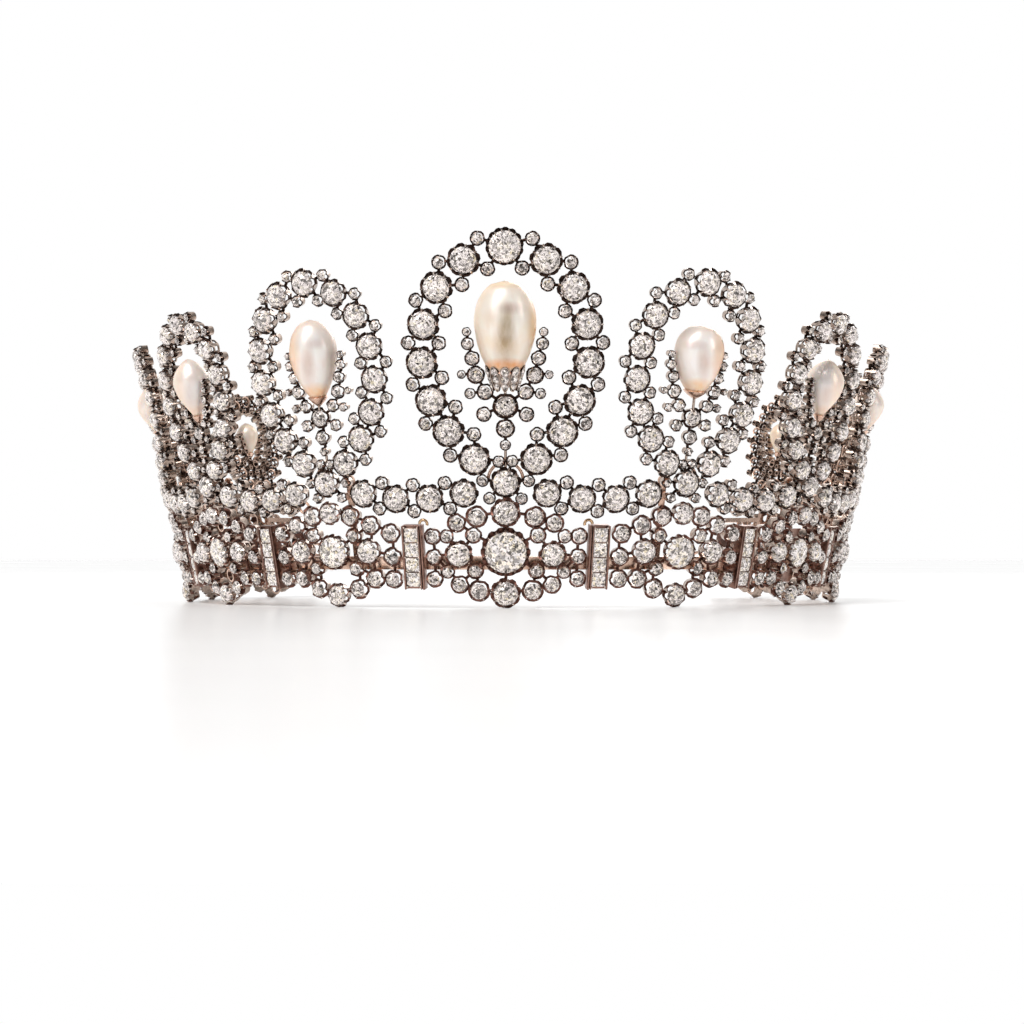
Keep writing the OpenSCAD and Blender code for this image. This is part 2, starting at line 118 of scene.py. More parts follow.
# Left and right pearl of each rank: diameter, length, middle, fullness
PearlSize = namedtuple("PearlSize", "d length middle fullness")
PEARLS = [
    (PearlSize(14.3, 24.0, 0.630, 0.43), PearlSize(14.3, 24.0, 0.630, 0.43)),
    (PearlSize(11.2, 19.6, 0.606, 0.50), PearlSize(11.6, 16.6, 0.610, 0.42)),
    (PearlSize(9.0, 15.4, 0.594, 0.72), PearlSize(9.4, 15.0, 0.592, 0.72)),
    (PearlSize(7.8, 12.8, 0.588, 0.72), PearlSize(7.8, 12.6, 0.588, 0.72)),
    (PearlSize(7.0, 11.2, 0.592, 0.72), PearlSize(7.0, 11.2, 0.592, 0.72)),
    (PearlSize(6.2, 9.8, 0.598, 0.72), PearlSize(6.2, 9.8, 0.598, 0.72)),
]

# Collets of the spray below a pearl: distance from the axis, rise, diameter
SPRAY = [
    (0, 8.4, 2.4), (0, 12.2, 4.1), (0, 17.4, 5.5), (4.7, 15.4, 3.3),
    (4.5, 20.6, 3.6), (7.8, 20.1, 2.4), (6.5, 24.4, 3.9), (9.7, 24.5, 1.9),
    (7.3, 28.2, 3.3), (8.3, 31.4, 2.8), (8.5, 34.1, 2.0),
]
SPRAY_CENTRE = 2

# Right half of each kind of panel: distance from the axis, rise, diameter
MIDDLE_PANEL = [
    (0, 0, 11.2), (0, 9.2, 6.4), (0, -9.6, 6.5), (6.3, 8.1, 4.7), (10.7, 6.6, 4.1),
    (7.1, 3.8, 3.6), (13.1, 3.5, 3.1), (16.3, 3.6, 3.7), (10.4, -0.6, 6.1),
    (16.2, -1.2, 3.7), (6.9, -4.4, 3.6), (13.1, -4.7, 3.1), (16.3, -6.3, 3.7),
    (10.5, -7.6, 4.0), (6.1, -9.1, 4.7),
]
SIDE_PANEL = [
    (0, 0, 8.8), (0, 9.1, 5.4), (0, -10.0, 5.7), (5.5, 8.3, 4.9), (10.6, 6.2, 4.6),
    (15.7, 4.3, 4.6), (5.8, 3.8, 3.8), (9.6, 0.1, 6.2), (15.8, -1.2, 4.4),
    (5.8, -3.9, 3.8), (10.7, -6.3, 4.6), (15.7, -6.4, 4.3), (5.9, -8.7, 4.7),
]
END_PANEL = [
    (0, 0, 7.6), (0, 9.4, 5.0), (0, -10.3, 5.1), (4.9, 8.6, 4.4), (9.1, 6.8, 4.0),
    (5.2, 3.8, 3.6), (10.4, 2.4, 4.2), (6.6, -0.2, 4.2), (10.5, -2.4, 4.2),
    (5.2, -4.2, 3.6), (9.2, -7.0, 4.2), (4.9, -9.3, 4.4),
]
LOWEST = 2
GARLAND_STEPS = [0.222, 0.407, 0.593, 0.778]
END_STEPS = [0.345, 0.675]
SMALL_RING_D = 4.2
RING_WIRE_D = 0.8

Collet = namedtuple("Collet", "u v d tall main")
chance = random.Random(11)


# Places on the cone

def radius_at(v):
    return RING_R + v * math.sin(LEAN)


def arc_of(az, v):
    return math.radians(az) * radius_at(v)


LOWEST_V = MIDDLE_PANEL[LOWEST][1] - MIDDLE_PANEL[LOWEST][2] / 2
FLOOR_Z = LOWEST_V * math.cos(LEAN) - COLLET_H * math.sin(LEAN)
FRONT_REACH = (radius_at(CROSSING_V + LOOP_H * PEARLS[0][0].middle)
               + (PEARL_LIFT + PEARLS[0][0].d / 2) * math.cos(LEAN))
BACK_REACH = (radius_at(CROSSING_V) + WIRE_LIFT + WIRE_T) * -math.cos(math.radians(END_AZ))
RING_Y = (FRONT_REACH - BACK_REACH) / 2


def on_band(az, u, v, lift=0.0):
    """Place on the cone: X to the right, Y up the cone, Z outwards, in millimetres."""
    turn = math.radians(az) + u / radius_at(v)
    return (Matrix.Scale(MM, 4)
            @ moved(0, RING_Y, -FLOOR_Z)
            @ Matrix.Rotation(turn, 4, "Z")
            @ moved(0, -radius_at(v), v * math.cos(LEAN))
            @ Matrix.Rotation(math.pi / 2 + LEAN, 4, "X")
            @ moved(0, 0, lift))


def scaled(x, y, z):
    return Matrix.Diagonal((x, y, z, 1.0))


def moved(x, y, z):
    return Matrix.Translation((x, y, z))


def turned(degrees, axis="Z"):
    return Matrix.Rotation(math.radians(degrees), 4, axis)


# Rows of collets, worked out as in the construction

def both_sides(dist):
    return (1,) if dist == 0 else (-1, 1)


def loop_collets(rank):
    wide, high = LOOP_HALF_W * rank.wide, LOOP_H * rank.high
    right = [(wide * x, CROSSING_V + high * y) for x, y in LOOP_PATH]
    path = right + [(-u, v) for u, v in right[-2::-1]]
    top = len(LOOP_PATH) - 1
    return [Collet(u, v, COLLET_D * (rank.top if i == top else rank.collets), COLLET_H, True)
            for i, (u, v) in enumerate(path)]


def crossing_collet(rank):
    return Collet(0, CROSSING_V, CROSSING_D * rank.garland, COLLET_H, True)


def paired_beads(row, d, gap):
    """Two small collets in each gap of a row of large ones, one on each side."""
    beads = []
    for a, b in zip(row, row[1:]):
        along = Vector((b.u - a.u, b.v - a.v))
        pitch = along.length
        along /= pitch
        from_a = (a.d + d) / 2 + gap
        from_b = (b.d + d) / 2 + gap
        run = (pitch ** 2 + from_a ** 2 - from_b ** 2) / (2 * pitch)
        for side in (-1, 1):
            off = side * math.sqrt(from_a ** 2 - run ** 2)
            beads.append(Collet(a.u + along.x * run - along.y * off,
                                a.v + along.y * run + along.x * off, d, BEAD_H, False))
    return beads


def crossing_beads(rank):
    hub = crossing_collet(rank)
    d = CROSSING_BEAD_SHARE * BEAD_D * rank.collets
    beside = paired_beads([hub, loop_collets(rank)[0]], d, NESTLE_GAP * rank.collets)[0]
    out = (hub.d + d) / 2 + NESTLE_GAP * rank.collets / 2
    across = (d + UPPER_BEAD_GAP * rank.collets) / 2
    far = (hub.d + d) / 2 + LOWER_BEAD_GAP * rank.collets
    places = [
        (beside.u, beside.v),
        (across, CROSSING_V + math.sqrt(out ** 2 - across ** 2)),
        (far * math.cos(LOWER_BEAD_TURN), CROSSING_V - far * math.sin(LOWER_BEAD_TURN)),
    ]
    return [Collet(side * u, v, d, BEAD_H, False) for side in (-1, 1) for u, v in places]


def spray_collets(rank):
    share = (rank.wide + rank.high) / 2
    return [Collet(side * dist * rank.wide, CROSSING_V + rise * rank.high, d * share,
                   BEAD_H, False)
            for dist, rise, d in SPRAY for side in both_sides(dist)]


def garland_collets(k):
    rank, following = RANKS[k], RANKS[min(k + 1, LAST_RANK)]
    last = k == LAST_RANK
    span = (END_AZ if last else following.az) - rank.az
    share = (rank.garland + following.garland) / 2
    row = [Collet(arc_of((t - 0.5) * span, CROSSING_V),
                  CROSSING_V - SWAG_DEPTH * math.sin(math.pi * t * (0.5 if last else 1)),
                  GARLAND_D * share, COLLET_H, True)
           for t in (END_STEPS if last else GARLAND_STEPS)]
    return rank.az + span / 2, share, row


def bar_az(k):
    if k < 0:
        return -FIRST_BAR_AZ
    if k == 0:
        return FIRST_BAR_AZ
    if k == LAST_RANK:
        return LAST_BAR_AZ
    return (RANKS[k].az + RANKS[k + 1].az) / 2


def panel_collets(k):
    """Collets of a panel, drawn out or in to reach both of its bars."""
    rank = RANKS[k]
    rows = MIDDLE_PANEL if k == 0 else SIDE_PANEL if k < END_PANELS_FROM else END_PANEL
    half_az = min(bar_az(k) - rank.az, rank.az - bar_az(k - 1))
    half = math.radians(half_az) * RING_R - BAR_W / 2 - PANEL_GAP
    stretch = min((half - d * rank.panel / 2) / dist for dist, rise, d in rows if dist > 0)
    made = []
    for i, (dist, rise, d) in enumerate(rows):
        d *= rank.panel
        v = LOWEST_V + d / 2 if i == LOWEST else rise
        for side in both_sides(dist):
            made.append(Collet(side * dist * stretch * radius_at(rise) / RING_R, v, d,
                               PANEL_BEAD_H if d < LARGE_FROM else COLLET_H, d >= LARGE_FROM))
    return made


def side_of(i):
    return -1 if i < 0 else 1


def side_name(kind, side, number):
    return f"{kind}_{'left' if side < 0 else 'right'}_{number}"


def piece_name(kind, i):
    return kind + "_middle" if i == 0 else side_name(kind, i, abs(i))


# Materials

def new_group(name, inputs, outputs):
    """A shader node group with float or colour sockets."""
    group = bpy.data.node_groups.new(name, "ShaderNodeTree")
    kinds = {float: "NodeSocketFloat", tuple: "NodeSocketColor", Vector: "NodeSocketVector"}
    for socket, value in inputs:
        made = group.interface.new_socket(socket, in_out="INPUT", socket_type=kinds[type(value)])
        made.default_value = value
    for socket, kind in outputs:
        group.interface.new_socket(socket, in_out="OUTPUT", socket_type=kinds[kind])
    return group, group.nodes.new("NodeGroupInput"), group.nodes.new("NodeGroupOutput")


def node(tree, kind, settings=(), **inputs):
    """Adds a node, sets its properties, and gives or links its inputs by name."""
    made = tree.nodes.new("ShaderNode" + kind)
    for key, value in dict(settings).items():
        setattr(made, key, value)
    for key, value in inputs.items():
        socket = made.inputs[int(key[2:]) if key.startswith("in") and key[2:].isdigit()
                             else key.replace("_", " ")]
        if isinstance(value, bpy.types.NodeSocket):
            tree.links.new(value, socket)
        else:
            socket.default_value = value
    return made


def ramp(tree, factor, stops, interpolation="LINEAR"):
    made = node(tree, "ValToRGB", Fac=factor)
    made.color_ramp.interpolation = interpolation
    elements = made.color_ramp.elements
    elements.remove(elements[-1])
    elements[0].position = stops[0][0]
    for i, (place, colour) in enumerate(stops):
        element = elements.new(place) if i else elements[0]
        element.color = (*colour, 1.0) if isinstance(colour, tuple) else (colour,) * 3 + (1.0,)
    return made.outputs["Color"]


def mixed(tree, factor, first, second, blend="MULTIPLY"):
    """One colour from two. It multiplies them where no other blend is named."""
    return node(tree, "Mix", {"data_type": "RGBA", "blend_type": blend},
                in0=factor, in6=first, in7=second).outputs[2]


def worked_out(tree, operation, first, second, clamp=False):
    """One value from two."""
    return node(tree, "Math", {"operation": operation, "use_clamp": clamp},
                in0=first, in1=second).outputs[0]


FINE_BITS = 2.3
GRIT = 6.0


def cut_sparkle_group():
    """Painted glints: the light and dark bits of reflection that a cut stone shows, painted as
    colour, a tilt for each bit, and a hue.
    """
    tree, given, out = new_group(
        "cut_sparkle", [("Bit Size", 0.0005), ("Darkness", 0.2), ("Tilt", 0.6)],
        [("Tone", tuple), ("Warmth", float), ("Normal", Vector)])
    place = node(tree, "TexCoord").outputs["Object"]
    scale = worked_out(tree, "DIVIDE", 1.0, given.outputs["Bit Size"])
    bits = node(tree, "TexVoronoi", Vector=place, Scale=scale)
    fine_scale = worked_out(tree, "MULTIPLY", scale, FINE_BITS)
    fine = node(tree, "TexVoronoi", Vector=place, Scale=fine_scale)
    pick = node(tree, "SeparateColor", Color=bits.outputs["Color"])
    fine_pick = node(tree, "SeparateColor", Color=fine.outputs["Color"])
    shift = worked_out(tree, "SUBTRACT", 0.45, given.outputs["Darkness"])
    light = worked_out(tree, "ADD", pick.outputs["Red"], shift)
    # Painted reflection: each bit gets a tone from black to white for the light and dark that
    # facets reflect
    tone = ramp(tree, light, [
        (0.0, 0.04), (0.28, 0.13), (0.36, 0.28), (0.45, 0.46), (0.56, 0.66), (0.70, 0.84),
        (0.86, 1.0)], "CONSTANT")
    fine_glints = ramp(tree, fine_pick.outputs["Green"], [
        (0.0, 0.14), (0.13, 0.5), (0.30, 0.84), (0.5, 1.0)], "CONSTANT")
    tree.links.new(mixed(tree, 1.0, tone, fine_glints), out.inputs["Tone"])
    tree.links.new(pick.outputs["Blue"], out.inputs["Warmth"])
    centred = node(tree, "VectorMath", {"operation": "SUBTRACT"},
                   in0=bits.outputs["Color"], in1=(0.5, 0.5, 0.5))
    tilted = node(tree, "VectorMath", {"operation": "SCALE"}, in0=centred.outputs[0],
                  Scale=given.outputs["Tilt"])
    normal = node(tree, "NewGeometry").outputs["Normal"]
    added = node(tree, "VectorMath", {"operation": "ADD"}, in0=normal, in1=tilted.outputs[0])
    unit = node(tree, "VectorMath", {"operation": "NORMALIZE"}, in0=added.outputs[0])
    tree.links.new(unit.outputs[0], out.inputs["Normal"])
    return tree


def worn_metal_group():
    """Tarnish that gathers in the hollows, a bright worn skin, and a fine hammer bump."""
    tree, given, out = new_group(
        "worn_metal",
        [("Clean", (0.5, 0.4, 0.35, 1.0)), ("Tarnish", (0.03, 0.025, 0.02, 1.0)),
         ("Wear", 0.5), ("Mottle Size", 0.002), ("Smooth", 0.25), ("Rough", 0.5)],
        [("Colour", tuple), ("Roughness", float), ("Height", float)])
    place = node(tree, "TexCoord").outputs["Object"]
    scale = worked_out(tree, "DIVIDE", 1.0, given.outputs["Mottle Size"])
    cloud = node(tree, "TexNoise", Vector=place, Scale=scale, Detail=5.0, Roughness=0.62)
    fine_scale = worked_out(tree, "MULTIPLY", scale, GRIT)
    grit = node(tree, "TexNoise", Vector=place, Scale=fine_scale, Detail=2.0)
    edge = node(tree, "NewGeometry").outputs["Pointiness"]
    edge_gain = node(tree, "MapRange", Value=edge, From_Min=0.46, From_Max=0.56,
                     To_Min=-0.3, To_Max=0.45)
    spread = node(tree, "MapRange", Value=cloud.outputs["Fac"], From_Min=0.3, From_Max=0.7)
    bare = worked_out(tree, "ADD", spread.outputs[0], edge_gain.outputs[0])
    worn = worked_out(tree, "MULTIPLY", bare, given.outputs["Wear"], clamp=True)
    colour = mixed(tree, worn, given.outputs["Tarnish"], given.outputs["Clean"], "MIX")
    rough = node(tree, "Mix", {"data_type": "FLOAT"}, in0=grit.outputs["Fac"],
                 in2=given.outputs["Smooth"], in3=given.outputs["Rough"])
    tree.links.new(colour, out.inputs["Colour"])
    tree.links.new(rough.outputs[0], out.inputs["Roughness"])
    tree.links.new(grit.outputs["Fac"], out.inputs["Height"])
    return tree


SPARKLE = cut_sparkle_group()
WORN_METAL = worn_metal_group()


def new_material(name, **shader_values):
    material = bpy.data.materials.new(name)
    material.use_nodes = True
    shader = material.node_tree.nodes["Principled BSDF"]
    for key, value in shader_values.items():
        shader.inputs[key.replace("_", " ")].default_value = value
    return material, material.node_tree, shader


def metal(name, clean, tarnish, wear, mottle=0.002, smooth=0.22, rough=0.5, bump=0.15):
    material, tree, shader = new_material(name, Metallic=1.0)
    worn = node(tree, "Group", {"node_tree": WORN_METAL}, Clean=(*clean, 1.0),
                Tarnish=(*tarnish, 1.0), Wear=wear, Mottle_Size=mottle, Smooth=smooth, Rough=rough)
    tree.links.new(worn.outputs["Colour"], shader.inputs["Base Color"])
    tree.links.new(worn.outputs["Roughness"], shader.inputs["Roughness"])
    relief = node(tree, "Bump", Strength=bump, Distance=0.00008, Height=worn.outputs["Height"])
    tree.links.new(relief.outputs["Normal"], shader.inputs["Normal"])
    return material


# Painted light: cut stones glow faintly in the colour of their painted glints
PAINTED_STONE_GLOW = 0.24


def cut_stone(name, bit_size, darkness, warm, tint=(0.96, 0.905, 0.895), tilt=0.6):
    material, tree, shader = new_material(name, Roughness=0.07, IOR=2.1, Coat_Weight=0.35,
                                          Coat_Roughness=0.03, Emission_Strength=PAINTED_STONE_GLOW,
                                          Specular_Tint=(1.0, 0.88, 0.82, 1.0))
    sparkle = node(tree, "Group", {"node_tree": SPARKLE}, Bit_Size=bit_size,
                   Darkness=darkness, Tilt=tilt)
    hue = ramp(tree, sparkle.outputs["Warmth"], [
        (0.0, tint), (0.35, (1.0, 0.92, 0.875)), (1.0 - warm, (1.0, 0.905, 0.79)),
        (1.0 - warm * 0.15, (0.93, 0.80, 0.58))], "CONSTANT")
    # The painted glints, tinted, give both the base colour and a painted glow
    colour = mixed(tree, 1.0, sparkle.outputs["Tone"], hue)
    tree.links.new(colour, shader.inputs["Base Color"])
    tree.links.new(colour, shader.inputs["Emission Color"])
    tree.links.new(sparkle.outputs["Normal"], shader.inputs["Normal"])
    return material


def soft_patch(tree, place, centre, reach):
    """A mask that is 1 at a spot on a piece and fades out at its reach."""
    scale = [1.0 / side for side in reach]
    centred = node(tree, "Mapping", Vector=place, Scale=scale,
                   Location=[-middle * size for middle, size in zip(centre, scale)])
    patch = node(tree, "TexGradient", {"gradient_type": "SPHERICAL"}, Vector=centred.outputs[0])
    return patch.outputs["Fac"]


def pearl_skin(name, body, blush, shade, tints_and_shade=()):
    """Nacre: a cloudy body colour, patches of fine streaks, tints and painted shade, and a blush
    towards the rim.
    """
    material, tree, shader = new_material(
        name, Metallic=0.2, Subsurface_Weight=0.15, Subsurface_Scale=0.002, Coat_Weight=0.35,
        Coat_Roughness=0.36, Specular_IOR_Level=0.6)
    place = node(tree, "TexCoord").outputs["Object"]
    cloud = node(tree, "TexNoise", Vector=place, Scale=130.0, Detail=3.0, Roughness=0.5)
    stretched = node(tree, "Mapping", Vector=place, Scale=(1.0, 1.0, 0.16))
    bands = node(tree, "TexNoise", Vector=stretched.outputs[0], Scale=560.0, Detail=4.0,
                 Roughness=0.6)
    patches = node(tree, "TexNoise", Vector=place, Scale=85.0, Detail=1.0)
    strength = node(tree, "MapRange", Value=patches.outputs["Fac"], From_Min=0.44, From_Max=0.6,
                    To_Min=0.0, To_Max=0.22)
    cloudy = ramp(tree, cloud.outputs["Fac"], [(0.38, body), (0.5, body), (0.66, blush)])
    streaked = ramp(tree, bands.outputs["Fac"], [(0.36, shade), (0.52, (1.0, 1.0, 1.0))])
    skin = mixed(tree, strength.outputs[0], cloudy, streaked)
    fibres = node(tree, "MapRange", Value=bands.outputs["Fac"], From_Min=0.35, From_Max=0.65,
                  To_Min=0.6, To_Max=1.0)
    # Tinted patches, streaked like the nacre; the darker ones are painted shade and a painted dark
    # reflection
    for centre, reach, colour, depth in tints_and_shade:
        spread = node(tree, "MapRange", Value=soft_patch(tree, place, centre, reach),
                      From_Max=0.7, To_Max=depth)
        mask = worked_out(tree, "MULTIPLY", spread.outputs[0], fibres.outputs[0])
        skin = mixed(tree, mask, skin, (*colour, 1.0))
    rim = node(tree, "LayerWeight", Blend=0.42)
    rosy = mixed(tree, rim.outputs["Facing"], skin, (1.0, 0.80, 0.62, 1.0))
    tree.links.new(rosy, shader.inputs["Base Color"])
    gloss = node(tree, "MapRange", Value=cloud.outputs["Fac"], To_Min=0.28, To_Max=0.42)
    tree.links.new(gloss.outputs[0], shader.inputs["Roughness"])
    relief = node(tree, "Bump", Strength=0.12, Distance=0.0003, Height=cloud.outputs["Fac"])
    tree.links.new(relief.outputs["Normal"], shader.inputs["Normal"])
    return material


DARK_SILVER = metal("dark_silver", (0.135, 0.075, 0.056), (0.0065, 0.0036, 0.003), 0.23)
BROWN_SILVER = metal("brown_silver", (0.31, 0.145, 0.11), (0.018, 0.0075, 0.0055), 0.4)
WORN_SILVER = metal("worn_silver", (0.88, 0.70, 0.59), (0.018, 0.010, 0.008), 0.56,
                    mottle=0.0008, smooth=0.12, rough=0.34)
CLAW_SILVER = metal("claw_silver", (0.80, 0.68, 0.61), (0.16, 0.11, 0.085), 0.8,
                    smooth=0.18, rough=0.35)
RAIL_GOLD = metal("rail_gold", (0.46, 0.27, 0.215), (0.055, 0.027, 0.019), 0.58,
                  mottle=0.002, smooth=0.2, rough=0.4, bump=0.1)
ROSE_GOLD = metal("rose_gold", (0.90, 0.65, 0.52), (0.44, 0.26, 0.19), 0.85,
                  mottle=0.004, smooth=0.18, rough=0.36, bump=0.08)
HOOK_GOLD = metal("hook_gold", (0.74, 0.50, 0.30), (0.34, 0.19, 0.09), 0.8,
                  mottle=0.003, smooth=0.16, rough=0.32, bump=0.06)
LARGE_CUT = cut_stone("large_cut_stone", 0.00056, 0.20, 0.24, tint=(0.94, 0.855, 0.835))
CENTRE_CUT = cut_stone("centre_cut_stone", 0.00075, 0.12, 0.45)
SMALL_CUT = cut_stone("small_cut_stone", 0.00045, 0.33, 0.2, tint=(0.87, 0.785, 0.755))
BAR_CUT = cut_stone("bar_cut_stone", 0.00055, 0.10, 0.4)

# Tinted patches of the pearls, the darker ones painted shade: how far to the right and up
# they are, and their reach that way, in shares of the pearl's size, then their colour and strength
MIDDLE_TINTS_AND_SHADE = [
    # Painted shade: a dark reflection down the middle, in two patches, and a shadow under the top
    (0.01, 0.38, 0.22, 0.27, (0.46, 0.35, 0.22), 0.9),
    (0.03, 0.58, 0.17, 0.23, (0.53, 0.45, 0.33), 0.9),
    (0.10, 0.72, 0.28, 0.07, (0.68, 0.58, 0.56), 0.8),
    # Tints: a tan spot on the left, a warm right edge, a yellow top and an orange foot
    (-0.22, 0.63, 0.15, 0.11, (0.92, 0.78, 0.66), 0.6),
    (0.52, 0.54, 0.18, 0.50, (1.0, 0.74, 0.42), 1.0),
    (-0.14, 1.00, 0.56, 0.10, (1.0, 0.86, 0.58), 0.9),
    (0.00, 0.195, 0.52, 0.07, (0.95, 0.48, 0.20), 1.0)]
SIDE_TINTS_AND_SHADE = [
    # Painted shade first: a dark patch down the middle and a shadow under the top; then tints at
    # the right edge and the foot
    (0.10, 0.46, 0.17, 0.30, (0.60, 0.46, 0.40), 0.7),
    (-0.12, 0.70, 0.30, 0.08, (0.78, 0.68, 0.66), 0.6),
    (0.46, 0.55, 0.20, 0.50, (1.0, 0.78, 0.60), 0.9),
    (0.00, 0.14, 0.40, 0.12, (0.98, 0.66, 0.38), 0.9)]
PATCH_DEPTH = 40.0

# Body, blush and shade of the two kinds of pearl
CREAM = ((1.0, 0.925, 0.84), (1.0, 0.87, 0.72), (0.80, 0.66, 0.54))
PINK = ((1.0, 0.94, 0.90), (0.985, 0.87, 0.81), (0.84, 0.70, 0.66))
PINK_RANKS = (1, 2, 3)
SIDE_FADE = 0.5


# Mesh tools

def line_of(bm, places):
    """Vertices at the given places, joined by edges in their order."""
    verts = [bm.verts.new(place) for place in places]
    return verts + [bm.edges.new(pair) for pair in zip(verts, verts[1:])]


def spun(profile, steps, closed=False):
    """A form turned round Z from a profile of radius and height."""
    bm = bmesh.new()
    geom = line_of(bm, [(r, 0, z) for r, z in profile])
    if closed:
        verts = [g for g in geom if isinstance(g, bmesh.types.BMVert)]
        geom.append(bm.edges.new((verts[-1], verts[0])))
    bmesh.ops.spin(bm, geom=geom, cent=(0, 0, 0), axis=(0, 0, 1), dvec=(0, 0, 0),
                   angle=math.tau, steps=steps, use_merge=True, use_duplicate=False)
    bmesh.ops.remove_doubles(bm, verts=bm.verts, dist=1e-4)
    bmesh.ops.recalc_face_normals(bm, faces=bm.faces)
    return bm


def as_mesh(bm, name, smooth_to=None):
    """A mesh of a shape. Where smooth_to is given, sharper edges than that stay crisp."""
    if smooth_to is not None:
        for face in bm.faces:
            face.smooth = True
        for edge in bm.edges:
            edge.smooth = edge.calc_face_angle(math.pi) < math.radians(smooth_to)
    mesh = bpy.data.meshes.new(name)
    bm.to_mesh(mesh)
    bm.free()
    return mesh


def merge_into(bm, template, place, slot=None):
    """Adds a copy of a template at a place; slot, where given, is its material."""
    verts, faces = len(bm.verts), len(bm.faces)
    bm.from_mesh(template)
    bm.verts.ensure_lookup_table()
    bmesh.ops.transform(bm, matrix=place, verts=bm.verts[verts:])
    if slot is not None:
        bm.faces.ensure_lookup_table()
        for face in bm.faces[faces:]:
            face.material_index = slot


def new_object(name, data):
    made = bpy.data.objects.new(name, data)
    bpy.context.scene.collection.objects.link(made)
    return made


def finished(name, bm, materials, replaced=()):
    """Makes the piece's object, and says what it rides on and stands for."""
    mesh = as_mesh(bm, name)
    for material in materials:
        mesh.materials.append(material)
    piece = new_object(name, mesh)
    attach(piece, "root")
    if replaced:
        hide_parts(*replaced)
    return piece


# Shapes that repeat

FRONT, BACK, CLAW, WALL = range(4)
WALL_PROFILE = [(0.72, 0.00), (0.76, 0.10), (0.89, 0.56), (1.00, 1.00)]
WALL_T = 0.13
ARCH_BAND = (0.10, 0.56)
ARCH_FROM = 0.9
PILLAR_HALF = 0.2
SMALL_PROFILE = [(0.64, 0.00), (0.82, 0.00), (0.96, 0.62), (1.04, 0.90), (0.80, 0.95)]
SCALLOP_OUT = 0.12
SMALL_SCALLOP_OUT = 0.05
SCALLOP_DIP = 0.36
CLAW_R = 0.085
CLAW_TAPER = 0.6
CLAW_TALL = 0.24
CLAW_PLACE = (0.88, 0, 0.98)
CLAW_LEAN = -30
FULL_LOBES = 8
SOFT_UP_TO = 50
WIRE_SOFT_UP_TO = 60
ROUND_UP_TO = 80

# Heights on a collet of unit height
WALL_UP_TO = 0.7
BACK_UP_TO = 0.4
BASE_UP_TO = 0.05
RIM_FROM = 0.4

# Shares of a lobe, from the claw, between which the edge of an arch lies
ARCH_EDGE = (0.3, 0.4)


def lobe_bulge(place, lobes):
    """How far round a lobe a place is: 0 at a claw, 1 midway between two."""
    return abs(math.sin(lobes / 2 * math.atan2(place.y, place.x)))


def narrow_pillars(bm, lobes):
    """Moves the edges of the arches towards the claws, so that more of the wall is open."""
    lobe = math.tau / lobes
    for vert in bm.verts:
        phase = math.atan2(vert.co.y, vert.co.x) / lobe
        from_claw = phase - round(phase)
        if vert.co.z < WALL_UP_TO and ARCH_EDGE[0] < abs(from_claw) < ARCH_EDGE[1]:
            turn = math.copysign(PILLAR_HALF, from_claw) - from_claw
            vert.co.rotate(Matrix.Rotation(turn * lobe, 3, "Z"))


def add_scallops(bm, lobes, out):
    """Lets the rim bulge out and dip between each two claws."""
    for vert in bm.verts:
        rim = max(0.0, (vert.co.z - RIM_FROM) / (1 - RIM_FROM))
        bulge = lobe_bulge(vert.co, lobes)
        spread = 1.0 + out * rim * (bulge - 0.6)
        vert.co.x *= spread
        vert.co.y *= spread
        vert.co.z -= SCALLOP_DIP * rim * bulge


def add_claws(bm, lobes, sides):
    claw = bmesh.new()
    size = CLAW_R * min(1.0, FULL_LOBES / lobes)
    bmesh.ops.create_cone(claw, segments=sides, radius1=size, radius2=size * CLAW_TAPER,
                          depth=CLAW_TALL, cap_ends=True)
    tip = as_mesh(claw, "claw_tip", ROUND_UP_TO)
    for n in range(lobes):
        merge_into(bm, tip, turned(360 * n / lobes) @ moved(*CLAW_PLACE)
                   @ turned(CLAW_LEAN, "Y"), CLAW)


def add_finishes(bm):
    """Dark rims, worn walls outside, and gold inside and below."""
    for face in bm.faces:
        middle = face.calc_center_median()
        outwards = ((face.normal.x * middle.x + face.normal.y * middle.y)
                    / math.hypot(middle.x, middle.y))
        if middle.z < BASE_UP_TO or outwards < -0.3 and middle.z < BACK_UP_TO:
            face.material_index = BACK
        elif outwards > 0.3 and middle.z < WALL_UP_TO:
            face.material_index = WALL
        else:
            face.material_index = FRONT


def large_collet_template(name, lobes, steps, claw_sides):
    """A collet of unit radius and height: an arcade below, a scallop between each two claws."""
    bm = spun(WALL_PROFILE, lobes * steps)
    arches = []
    for face in bm.faces:
        middle = face.calc_center_median()
        if ARCH_BAND[0] < middle.z < ARCH_BAND[1] and lobe_bulge(middle, lobes) > ARCH_FROM:
            arches.append(face)
    bmesh.ops.delete(bm, geom=arches, context="FACES")
    narrow_pillars(bm, lobes)
    add_scallops(bm, lobes, SCALLOP_OUT * min(1.0, FULL_LOBES / lobes))
    for face in bm.faces:
        if face.normal.dot(face.calc_center_median()) < 0:
            face.normal_flip()
    bmesh.ops.solidify(bm, geom=bm.faces[:], thickness=WALL_T)
    bmesh.ops.recalc_face_normals(bm, faces=bm.faces)
    add_finishes(bm)
    add_claws(bm, lobes, claw_sides)
    return as_mesh(bm, name, SOFT_UP_TO)


def small_collet_template(name, lobes, steps, claw_sides):
    """A collet of unit radius and height: a plain wall with a scalloped rim and claws."""
    bm = spun(SMALL_PROFILE, lobes * steps, closed=True)
    add_scallops(bm, lobes, SMALL_SCALLOP_OUT)
    add_finishes(bm)
    add_claws(bm, lobes, claw_sides)
    return as_mesh(bm, name, SOFT_UP_TO)


